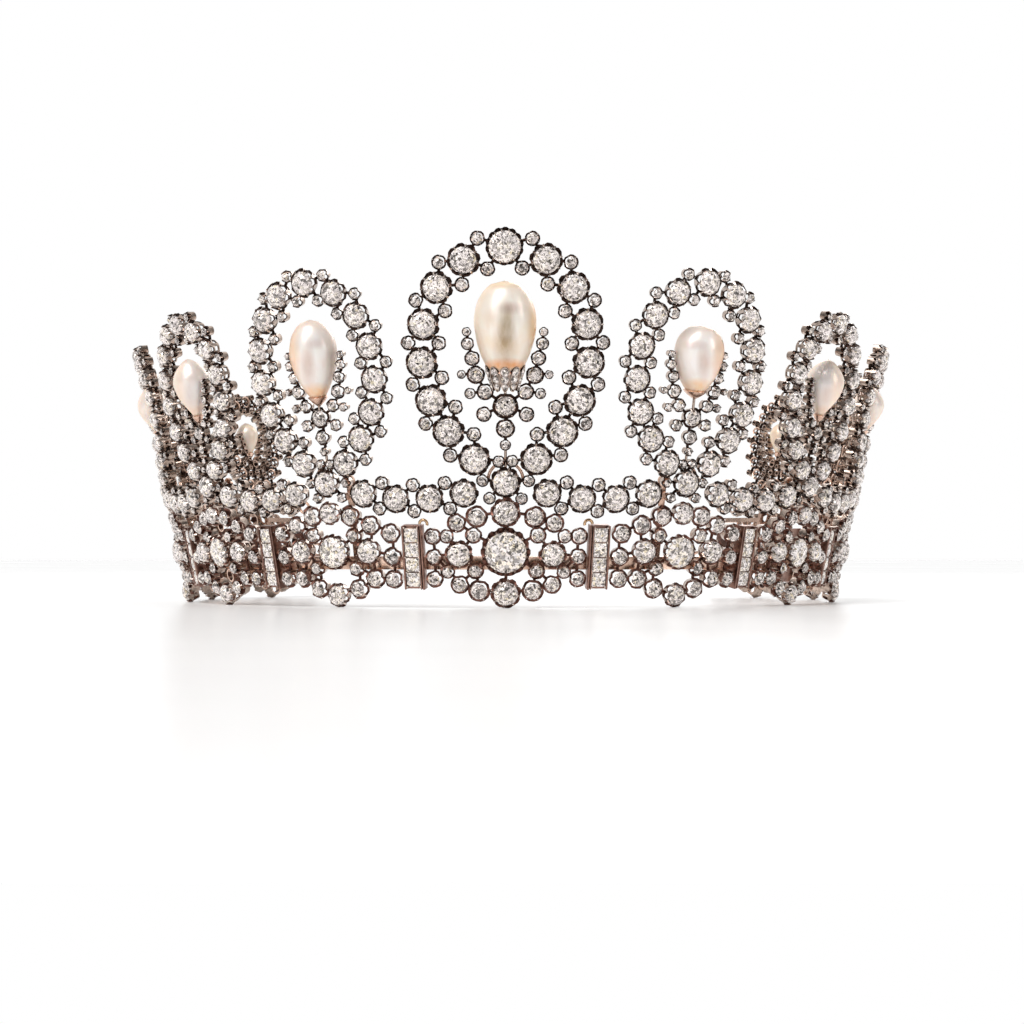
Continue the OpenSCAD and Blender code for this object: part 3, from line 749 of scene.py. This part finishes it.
def hull_of(name, circles):
    """One faceted skin round circles of a radius, a height, a turn and a count."""
    bm = bmesh.new()
    for radius, height, turn, count in circles:
        bmesh.ops.create_circle(bm, segments=count, radius=radius, cap_ends=False,
                                matrix=moved(0, 0, height) @ Matrix.Rotation(turn, 4, "Z"))
    bmesh.ops.convex_hull(bm, input=bm.verts)
    bmesh.ops.delete(bm, geom=[e for e in bm.edges if not e.link_faces], context="EDGES_FACES")
    bmesh.ops.delete(bm, geom=[v for v in bm.verts if not v.link_faces], context="VERTS")
    bmesh.ops.dissolve_limit(bm, angle_limit=0.01, verts=bm.verts, edges=bm.edges)
    bmesh.ops.recalc_face_normals(bm, faces=bm.faces)
    return as_mesh(bm, name)


BREAK = 0.62
GIRDLE_T = 0.05
CULET_R = 0.08


def cut_template(name, table, star, girdle, culet, crown, sides):
    """An old cut: table, star points and girdle above, a culet below."""
    half = math.pi / sides
    return hull_of(name, [
        (table, crown, half, sides), (star, crown * BREAK, 0.0, sides),
        (1.0, 0.0, half / 2, sides * 2), (1.0, -GIRDLE_T, half / 2, sides * 2),
        (girdle, -culet * BREAK, 0.0, sides), (CULET_R, -culet, half, 4)])


def rod_template():
    """A round rod of unit length and radius, along X."""
    bm = bmesh.new()
    bmesh.ops.create_cone(bm, segments=8, radius1=1.0, radius2=1.0, depth=1.0, cap_ends=True)
    bmesh.ops.rotate(bm, cent=(0, 0, 0), matrix=Matrix.Rotation(math.pi / 2, 3, "Y"),
                     verts=bm.verts)
    return as_mesh(bm, "rod", WIRE_SOFT_UP_TO)


def ring_template(name, outer_d, wire_d, turn=math.tau, steps=28):
    """Round wire bent to a ring, or to a part of one."""
    bm = bmesh.new()
    bmesh.ops.create_circle(bm, segments=8, radius=wire_d / 2,
                            matrix=moved((outer_d - wire_d) / 2, 0, 0)
                            @ Matrix.Rotation(math.pi / 2, 4, "X"))
    full = abs(turn - math.tau) < 1e-6
    bmesh.ops.spin(bm, geom=bm.verts[:] + bm.edges[:], cent=(0, 0, 0), axis=(0, 0, 1),
                   dvec=(0, 0, 0), angle=turn, steps=steps, use_merge=full, use_duplicate=False)
    if not full:
        ends = [edge for edge in bm.edges if edge.is_boundary]
        bmesh.ops.holes_fill(bm, edges=ends, sides=0)
    bmesh.ops.remove_doubles(bm, verts=bm.verts, dist=1e-5)
    bmesh.ops.recalc_face_normals(bm, faces=bm.faces)
    return as_mesh(bm, name, WIRE_SOFT_UP_TO)


LARGE_COLLET = large_collet_template("large_collet", 8, 3, 3)
CENTRE_COLLET = large_collet_template("centre_collet", 14, 3, 4)
SMALL_COLLET = small_collet_template("small_collet", 5, 3, 3)
RIM_SHARE = 1.05
PANEL_RIM_SHARE = 1.07
CENTRE_RIM_SHARE = 1.0
OLD_CUT = cut_template("old_cut", 0.40, 0.80, 0.8, 0.75, 0.48, 8)
CENTRE_OLD_CUT = cut_template("centre_old_cut", 0.36, 0.76, 0.82, 0.6, 0.36, 10)
ROSE_TALL = 0.58
ROSE_CUT = hull_of("rose_cut", [
    (0.12, ROSE_TALL, 0.0, 3), (0.55, ROSE_TALL * 0.78, 0.5, 6), (1.0, 0.0, 0.0, 12)])
SQUARE_CUT = hull_of("square_cut", [
    (0.5, 0.3, math.pi / 4, 4), (0.78, 0.2, 0.0, 8), (1.15, 0.0, math.pi / 4, 4),
    (1.15, -0.25, math.pi / 4, 4)])
ROD = rod_template()
CENTRE_FROM = 8.0
COLLET_TIP = 1.5
SMALL_COLLET_TIP = 4.0


def add_collet(bm, az, c, rim_share):
    """A collet at its place, tipped a little, as hand-made ones are."""
    shape = SMALL_COLLET if not c.main else LARGE_COLLET if c.d < CENTRE_FROM else CENTRE_COLLET
    tip = COLLET_TIP if c.main else SMALL_COLLET_TIP
    radius = c.d / 2 * (rim_share if c.d < CENTRE_FROM else CENTRE_RIM_SHARE)
    merge_into(bm, shape, on_band(az, c.u, c.v) @ turned(chance.uniform(0, 60))
               @ turned(chance.uniform(-tip, tip), "X") @ scaled(radius, radius, c.tall))


MAIN_STONE_SHARE = 0.845
SMALL_STONE_SHARE = 0.74
MEDIUM_STONE_SHARE = 0.79
MEDIUM_FROM = 3.8
STONE_DROP = 0.12
SMALL_STONE_DROP = 0.02
STONE_TIP = 4.0
SMALL_STONE_TIP = 7.0
DEEPEST_STONE = 2.9


def add_stone(bm, az, c):
    """The stone of a collet, turned and tipped a little, as no two sit alike."""
    tip = STONE_TIP if c.main else SMALL_STONE_TIP
    seat = (on_band(az, c.u, c.v, c.tall - (STONE_DROP if c.main else SMALL_STONE_DROP))
            @ turned(chance.uniform(0, 360)) @ turned(chance.uniform(-tip, tip), "X"))
    if c.main:
        size = c.d / 2 * MAIN_STONE_SHARE
        shape = OLD_CUT if c.d < CENTRE_FROM else CENTRE_OLD_CUT
        merge_into(bm, shape, seat @ scaled(size, size, min(size, DEEPEST_STONE)))
    else:
        size = c.d / 2 * (SMALL_STONE_SHARE if c.d < MEDIUM_FROM else MEDIUM_STONE_SHARE)
        merge_into(bm, ROSE_CUT, seat @ scaled(size, size, size))


WIRE_R = 0.36
FOOT_SHARE = 0.8


def add_wires(bm, az, row, reach):
    """Short wires behind a row, between collets whose rims are near each other."""
    for i, a in enumerate(row):
        for b in row[i + 1:]:
            run = math.hypot(b.u - a.u, b.v - a.v)
            if run - (a.d + b.d) / 2 >= reach:
                continue
            slope = math.degrees(math.atan2(b.v - a.v, b.u - a.u))
            clear = run - (a.d + b.d) / 2 * FOOT_SHARE
            shift = (a.d - b.d) / 4 * FOOT_SHARE
            middle = on_band(az, (a.u + b.u) / 2, (a.v + b.v) / 2, WIRE_LIFT + WIRE_T / 2)
            merge_into(bm, ROD, middle @ turned(slope) @ moved(shift, 0, 0)
                       @ scaled(clear, WIRE_R, WIRE_R), FRONT)


def metalwork(name, az, row, reach, front, rim_share=RIM_SHARE, extra=None):
    """The collets of one piece, the wires between those nearer than reach, and any extra."""
    bm = bmesh.new()
    for c in row:
        add_collet(bm, az, c, rim_share)
    add_wires(bm, az, row, reach)
    if extra:
        extra(bm)
    return finished(name, bm, [front, ROSE_GOLD, CLAW_SILVER, WORN_SILVER], [name])


# Camera and light

CAMERA_DISTANCE = 664.0
CAMERA_HEIGHT = 13.0
CAMERA_AZ = 0.8
PHOTO_SIDE_PX = 1024
FOCAL_PX = 2550.0
HORIZON_PX = 551.0
AXIS_PX = 511.0
SENSOR_MM = 36.0


def add_camera():
    """Square in front of the tiara, just above the floor, with a long lens."""
    data = bpy.data.cameras.new("camera")
    data.sensor_width = SENSOR_MM
    data.lens = SENSOR_MM * FOCAL_PX / PHOTO_SIDE_PX
    camera = new_object("camera", data)
    turn = math.radians(CAMERA_AZ)
    camera.location = Vector((math.sin(turn) * CAMERA_DISTANCE,
                              RING_Y - math.cos(turn) * CAMERA_DISTANCE, CAMERA_HEIGHT)) * MM
    tilt = math.atan((HORIZON_PX - PHOTO_SIDE_PX / 2) / FOCAL_PX)
    swing = math.atan((AXIS_PX - PHOTO_SIDE_PX / 2) / FOCAL_PX)
    camera.rotation_euler = (math.pi / 2 + tilt, 0, turn + swing)
    bpy.context.scene.camera = camera


LIGHT_AIM = Vector((0, 0, 0.04))


def add_light(name, kind, place, power, size):
    """A lamp that points at the tiara. The size of a sun is its spread in degrees."""
    data = bpy.data.lights.new(name, kind)
    data.energy = power
    if kind == "SUN":
        data.angle = math.radians(size)
    else:
        data.shape = "RECTANGLE"
        data.size, data.size_y = size
    light = new_object(name, data)
    light.location = place
    light.rotation_euler = (LIGHT_AIM - Vector(place)).to_track_quat("-Z", "Y").to_euler()


def add_lights():
    add_light("overhead", "SUN", (-0.3, -0.45, 1.0), 2.0, 30.0)
    add_light("key", "AREA", (-0.45, -0.60, 0.45), 1.4, (0.30, 0.50))
    add_light("fill", "AREA", (0.60, -0.35, 0.30), 0.8, (0.12, 0.40))
    add_light("rim", "AREA", (0.25, 0.65, 0.40), 1.2, (0.5, 0.3))


ROOM_LIGHT = 1.0


def add_room():
    """A white room, darker behind the camera and in patches, so that metal has contrast."""
    world = bpy.data.worlds.new("white_room")
    bpy.context.scene.world = world
    world.use_nodes = True
    tree = world.node_tree
    direction = node(tree, "TexCoord").outputs["Generated"]
    split = node(tree, "SeparateXYZ", Vector=direction)
    room = ramp(tree, split.outputs["Y"], [(0.0, 0.16), (0.22, 0.55), (0.5, 0.95), (1.0, 1.0)])
    dark_bits = node(tree, "TexNoise", Vector=direction, Scale=5.0, Detail=1.0)
    cards = ramp(tree, dark_bits.outputs["Fac"], [(0.42, 0.3), (0.5, 1.0)])
    toned = mixed(tree, 0.6, room, cards)
    ahead = node(tree, "MapRange", Value=split.outputs["Y"], From_Min=0.3, From_Max=0.8)
    seen = node(tree, "LightPath").outputs["Is Camera Ray"]
    white = worked_out(tree, "MAXIMUM", seen, ahead.outputs[0])
    choice = mixed(tree, white, toned, (1.0, 1.0, 1.0, 1.0), "MIX")
    tree.links.new(choice, tree.nodes["Background"].inputs["Color"])
    tree.nodes["Background"].inputs["Strength"].default_value = ROOM_LIGHT
    bpy.context.scene.view_settings.view_transform = "Standard"


FLOOR_HALF = 3.0


def add_floor():
    """A pale, faintly glossy table top."""
    bm = bmesh.new()
    bmesh.ops.create_grid(bm, x_segments=1, y_segments=1, size=FLOOR_HALF)
    mesh = as_mesh(bm, "floor")
    material, tree, shader = new_material("pale_floor", Coat_Weight=0.05, Coat_Roughness=0.3)
    place = node(tree, "TexCoord").outputs["Object"]
    cloud = node(tree, "TexNoise", Vector=place, Scale=6.0, Detail=2.0)
    tone = ramp(tree, cloud.outputs["Fac"], [(0.3, 0.975), (0.7, 0.985)])
    tree.links.new(tone, shader.inputs["Base Color"])
    soft = node(tree, "MapRange", Value=cloud.outputs["Fac"], To_Min=0.22, To_Max=0.3)
    tree.links.new(soft.outputs[0], shader.inputs["Roughness"])
    mesh.materials.append(material)
    new_object("floor", mesh)


# Pieces

def pearl_radius(share, size):
    return size.d / 2 * math.sin(math.pi * share ** PEARL_SKEW) ** size.fullness


def pearl_tip_v(rank, size):
    return CROSSING_V + LOOP_H * rank.high * size.middle - size.length / 2


def pearl_place(az, rank, size):
    """Where a pearl's lower tip is, with the pearl's axis as Z."""
    return on_band(az, 0, pearl_tip_v(rank, size), PEARL_LIFT) @ turned(-90, "X")


def loop_at(i):
    """The azimuth of a loop, its rank and the size of its pearl."""
    rank = RANKS[abs(i)]
    return rank.az * side_of(i), rank, PEARLS[abs(i)][0 if i < 0 else 1]


PEARL_STEPS = 28
PEARL_SIDES = 48
BAROQUE = 0.035
SMOOTH_BELOW = 0.3
SMOOTH_FADE = 0.2
BROAD_LUMPS = 1.7
FINE_LUMPS = 4.5


def add_pearl(i):
    """A baroque pearl: round at its seat, uneven above, with shallow dents."""
    az, rank, size = loop_at(i)
    profile = ([(0.0, 0.0)]
               + [(pearl_radius(n / PEARL_STEPS, size), n / PEARL_STEPS * size.length)
                  for n in range(1, PEARL_STEPS)]
               + [(0.0, size.length)])
    bm = spun(profile, PEARL_SIDES)
    seed = Vector((3.7 * i + 40, 1.3 * i, 0))
    for vert in bm.verts:
        share = vert.co.z / size.length
        free = min(1.0, max(0.0, (share - SMOOTH_BELOW) / SMOOTH_FADE))
        broad = noise.noise(vert.co * (BROAD_LUMPS / size.d) + seed)
        lumps = noise.noise(vert.co * (FINE_LUMPS / size.d) + seed * 2)
        swell = 1 - free * BAROQUE * (0.5 + broad + 0.45 * lumps)
        vert.co.x *= swell
        vert.co.y *= swell
    place = pearl_place(az, rank, size)
    bmesh.ops.transform(bm, matrix=place, verts=bm.verts)
    for face in bm.faces:
        face.smooth = True
    name = piece_name("pearl", i)
    tones = PINK if abs(i) in PINK_RANKS else CREAM
    fade = 1.0 if abs(i) < 2 else SIDE_FADE
    # Tinted patches with painted shade, in the pearl's frame, mirrored on the left and fainter on
    # the outer pearls
    tints_and_shade = [(place @ Vector((side_of(i) * right * size.d, 0, up * size.length)),
              (wide * size.d * MM, PATCH_DEPTH * MM, tall * size.length * MM),
              colour, strength * fade)
             for right, up, wide, tall, colour, strength in (SIDE_TINTS_AND_SHADE if i else MIDDLE_TINTS_AND_SHADE)]
    skin = pearl_skin(name + "_skin", *tones, tints_and_shade)
    finished(name, bm, [skin], [name])


CUP_STEPS = 6
CUP_SIDES = 24
LIP_H = 0.25


def cup_template(size, share):
    """The cup round the lower end of a pearl, with a rolled lip."""
    shares = [n / CUP_STEPS * share for n in range(1, CUP_STEPS + 1)]
    inner = [(pearl_radius(part, size) + SEAT_GAP, part * size.length) for part in shares]
    outer = [(r + CUP_WALL, z) for r, z in inner]
    lip = [(outer[-1][0] - CUP_WALL / 2, outer[-1][1] + LIP_H)]
    profile = [(0, -SEAT_GAP - CUP_WALL)] + outer + lip + inner[::-1] + [(0, -SEAT_GAP)]
    return as_mesh(spun(profile, CUP_SIDES), "cup", SOFT_UP_TO)


CAP_PETALS = 10
CAP_TALL = 6.2
CAP_FOOT_R = 2.35
CAP_TOP_R = 4.15
PETAL_W = 2.9
CAP_CUP_SHARE = 0.155
CAP_RISE = 0.9
PETAL_T = 0.55
PETAL_TAPER = 0.18
PETAL_RIM = 0.15
SCOOP_IN = 0.08
SCOOP_DEPTH = 0.22

# Stones of a flute: how far up it from its middle, and their diameter
FLUTE_STONES = [(-1.85, 1.45), (-0.15, 1.8), (1.65, 2.0)]
FLUTE_STONE_DROP = 0.16
STEM_R = 0.32


def petal_template():
    """One flute of the cap: a long scooped plate with a raised rim."""
    bm = bmesh.new()
    bmesh.ops.create_circle(bm, segments=20, radius=1.0, cap_ends=True)
    bmesh.ops.scale(bm, vec=(PETAL_W / 2, CAP_TALL / 2, 1), verts=bm.verts)
    for vert in bm.verts:
        vert.co.x *= 1 - PETAL_TAPER + PETAL_TAPER * vert.co.y / (CAP_TALL / 2)
    front = bmesh.ops.extrude_face_region(bm, geom=bm.faces[:])
    verts = [g for g in front["geom"] if isinstance(g, bmesh.types.BMVert)]
    bmesh.ops.translate(bm, vec=(0, 0, PETAL_T), verts=verts)
    bmesh.ops.recalc_face_normals(bm, faces=bm.faces)
    face = max(bm.faces, key=lambda f: f.calc_center_median().z)
    rim = bmesh.ops.inset_individual(bm, faces=[face], thickness=PETAL_RIM, depth=0.0)
    for side in rim["faces"]:
        side.material_index = WALL
    face = max((f for f in bm.faces if len(f.verts) > 4), key=lambda f: f.calc_center_median().z)
    scoop = bmesh.ops.inset_individual(bm, faces=[face], thickness=SCOOP_IN, depth=-SCOOP_DEPTH)
    face.material_index = CLAW
    for side in scoop["faces"]:
        side.material_index = CLAW
    return as_mesh(bm, "petal", 40)


def cap_places(size):
    """Where each flute of the middle cap stands, in the pearl's own frame."""
    slope = math.degrees(math.atan2(CAP_TOP_R - CAP_FOOT_R, CAP_TALL))
    middle_r = (CAP_TOP_R + CAP_FOOT_R) / 2
    foot = CAP_SHARE * size.length - CAP_TALL + CAP_RISE
    for n in range(CAP_PETALS):
        yield (turned(360 * (n + 0.5) / CAP_PETALS) @ moved(middle_r, 0, foot + CAP_TALL / 2)
               @ turned(90) @ turned(90 + slope, "X"))


def add_loop(i):
    """A loop with its crossing collet, its spray, and the cup or cap of its pearl."""
    az, rank, size = loop_at(i)
    large = loop_collets(rank)
    row = (large + [crossing_collet(rank)]
           + paired_beads(large, BEAD_D * rank.collets, NESTLE_GAP * rank.collets)
           + crossing_beads(rank) + spray_collets(rank))
    seat = pearl_place(az, rank, size)
    stems = [(CROSSING_V + SPRAY[SPRAY_CENTRE][1] * rank.high,
              pearl_tip_v(rank, size) - SEAT_GAP, PEARL_LIFT),
             (CROSSING_V, CROSSING_V + SPRAY[0][1] * rank.high, WIRE_LIFT + WIRE_T / 2)]

    def add_cup(bm):
        merge_into(bm, cup_template(size, CAP_CUP_SHARE if i == 0 else CUP_SHARE), seat, BACK)
        for low, high, lift in stems:
            merge_into(bm, ROD, on_band(az, 0, (low + high) / 2, lift) @ turned(90)
                       @ scaled(high - low, STEM_R, STEM_R), WALL)
        if i == 0:
            petal = petal_template()
            for place in cap_places(size):
                merge_into(bm, petal, seat @ place)

    name = piece_name("loop", i)
    metalwork(name, az, row, WIRE_REACH * rank.collets, DARK_SILVER,
              extra=add_cup)
    return az, row


def add_cap_stones():
    """Three small stones down each flute of the middle cap."""
    az, rank, size = loop_at(0)
    seat = pearl_place(az, rank, size)
    bm = bmesh.new()
    for place in cap_places(size):
        for along, d in FLUTE_STONES:
            merge_into(bm, ROSE_CUT, seat @ place @ moved(0, along, PETAL_T - FLUTE_STONE_DROP)
                       @ turned(chance.uniform(0, 90)) @ scaled(d / 2, d / 2, d / 2))
    finished("cap_stones", bm, [SMALL_CUT])


def add_garland(side, k):
    """A stretch of the garland. The last one ends in a ribbon ring."""
    middle, share, large = garland_collets(k)
    large = [c._replace(u=side * c.u) for c in large]
    row = large + paired_beads(large, BEAD_D * share, NESTLE_GAP * share / 2)

    def end_ring(bm):
        last = large[-1]
        out = (last.d + SMALL_RING_D) / 2 - RING_WIRE_D
        place = on_band(side * middle, last.u + side * out, last.v, WIRE_LIFT + WIRE_T / 2)
        merge_into(bm, ring_template("end_ring", SMALL_RING_D, RING_WIRE_D), place, BACK)

    name = side_name("garland", side, k + 1)
    metalwork(name, side * middle, row, WIRE_REACH, DARK_SILVER,
              extra=end_ring if k == LAST_RANK else None)
    return side * middle, row


def add_panel(i):
    az, row = loop_at(i)[0], panel_collets(abs(i))
    name = piece_name("panel", i)
    metalwork(name, az, row, PANEL_WIRE_REACH, BROWN_SILVER, PANEL_RIM_SHARE)
    return az, row


def boxed(bm, low, high, bevel, slot):
    """A bevelled bar between two corners."""
    part = bmesh.new()
    size = Vector(high) - Vector(low)
    centre = (Vector(high) + Vector(low)) / 2
    bmesh.ops.create_cube(part, size=1.0, matrix=moved(*centre) @ scaled(*size))
    bmesh.ops.bevel(part, geom=part.edges[:], offset=bevel, offset_type="OFFSET", segments=2,
                    profile=0.5, affect="EDGES", material=-1)
    merge_into(bm, as_mesh(part, "bar_part", SOFT_UP_TO), Matrix.Identity(4), slot)


BAR_STONE = 1.95
BAR_STONE_TALL = 1.6
BAR_STONE_SHIFT = 0.26
BAR_STONE_DROP = 0.5
PRONG_R = 0.3
PRONG_OUT = 1.62
PRONG_DROP = 0.35
HOOK = 3
HOOK_D = 2.5
HOOK_WIRE_D = 0.7
HOOK_PLACE = (-BAR_W / 2 - 0.2, BAR_H / 2 + 0.3, BAR_T / 2)

# Plates of a link bar: their left and right sides, how far they pass its ends, their
# back and front, and their bevel
BAR_PLATES = [
    (-BAR_W / 2 + 0.2, BAR_W / 2 - 0.2, 0.0, 0.0, BAR_T - 1.1, 0.12),
    (-BAR_W / 2, -BAR_W / 2 + 0.4, 0.1, 0.3, BAR_T, 0.1),
    (-BAR_W / 2 + 0.62, -BAR_W / 2 + 0.92, 0.0, 0.3, BAR_T, 0.1),
    (BAR_W / 2 - 0.4, BAR_W / 2, 0.0, 0.3, BAR_T, 0.1),
]


def add_bar(side, k):
    """A link bar: a column of square stones between rails, one of them split."""
    place = on_band(side * bar_az(k), 0, BAR_V) @ scaled(side, 1, 1)
    bm = bmesh.new()
    for left, right, past, back, front, bevel in BAR_PLATES:
        end = BAR_H / 2 + past
        boxed(bm, (left, -end, back), (right, end, front), bevel, BACK)
    stones = bmesh.new()
    for n in range(POCKET_COUNT):
        y = (n - (POCKET_COUNT - 1) / 2) * POCKET_PITCH
        merge_into(stones, SQUARE_CUT, place @ moved(BAR_STONE_SHIFT, y, BAR_T - BAR_STONE_DROP)
                   @ turned(chance.choice((0, 90, 180, 270)))
                   @ scaled(BAR_STONE, BAR_STONE, BAR_STONE_TALL))
    for n in range(POCKET_COUNT + 1):
        y = (n - POCKET_COUNT / 2) * POCKET_PITCH
        for x in (-PRONG_OUT, PRONG_OUT):
            merge_into(bm, PRONG, moved(BAR_STONE_SHIFT + x, y, BAR_T - PRONG_DROP), CLAW)
    if k == 0:
        hook = ring_template("hook", HOOK_D, HOOK_WIRE_D, math.radians(200), 16)
        merge_into(bm, hook, moved(*HOOK_PLACE), HOOK)
    bmesh.ops.transform(bm, matrix=place, verts=bm.verts)
    for part in (bm, stones):
        bmesh.ops.recalc_face_normals(part, faces=part.faces)
    name = side_name("bar", side, k + 1)
    finished(name, bm, [BROWN_SILVER, RAIL_GOLD, CLAW_SILVER, HOOK_GOLD], [name])
    finished(name + "_stones", stones, [BAR_CUT])


def prong_template():
    bm = bmesh.new()
    bmesh.ops.create_icosphere(bm, subdivisions=1, radius=PRONG_R)
    return as_mesh(bm, "prong", ROUND_UP_TO)


PRONG = prong_template()


ARCH_OVER = 1.9
ARCH_WIRE_D = 0.75
ARCH_TURN = 200
ARCH_UP = 0.3
ARCH_LIFT = 0.1


def add_crossing_wires():
    """The gold wires that arch behind the crossings."""
    bm = bmesh.new()
    for i in LOOPS:
        az, rank = loop_at(i)[:2]
        hub = crossing_collet(rank)
        arch = ring_template("arch", hub.d + ARCH_OVER, ARCH_WIRE_D, math.radians(ARCH_TURN), 20)
        merge_into(bm, arch, on_band(az, 0, hub.v + ARCH_UP, ARCH_LIFT)
                   @ turned(-(ARCH_TURN - 180) / 2), FRONT)
    finished("crossing_wires", bm, [ROSE_GOLD])


def add_stones(name, places, chosen, material, replaced=()):
    """One joined mesh of the stones of all collets that chosen picks."""
    bm = bmesh.new()
    for az, row in places:
        for c in row:
            if chosen(c):
                add_stone(bm, az, c)
    finished(name, bm, [material], replaced)


add_camera()
add_room()
add_lights()
add_floor()

for i in LOOPS:
    add_pearl(i)
loops = [add_loop(i) for i in LOOPS]
garlands = [add_garland(side, k) for side in (-1, 1) for k in range(LAST_RANK + 1)]
panels = [add_panel(i) for i in LOOPS]
for side in (-1, 1):
    for k in range(LAST_RANK + 1):
        add_bar(side, k)
add_crossing_wires()
add_cap_stones()
add_stones("large_stones", loops + garlands, lambda c: c.main, LARGE_CUT, ["loop_stones"])
add_stones("small_stones", loops + garlands, lambda c: not c.main, SMALL_CUT)
add_stones("panel_large_stones", panels, lambda c: c.main and c.d < CENTRE_FROM, LARGE_CUT,
           ["panel_stones"])
add_stones("panel_centre_stones", panels, lambda c: c.main and c.d >= CENTRE_FROM, CENTRE_CUT)
add_stones("panel_small_stones", panels, lambda c: not c.main, SMALL_CUT)

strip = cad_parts["inner_strip"]
for finish_slot in strip.material_slots:
    finish_slot.material = ROSE_GOLD
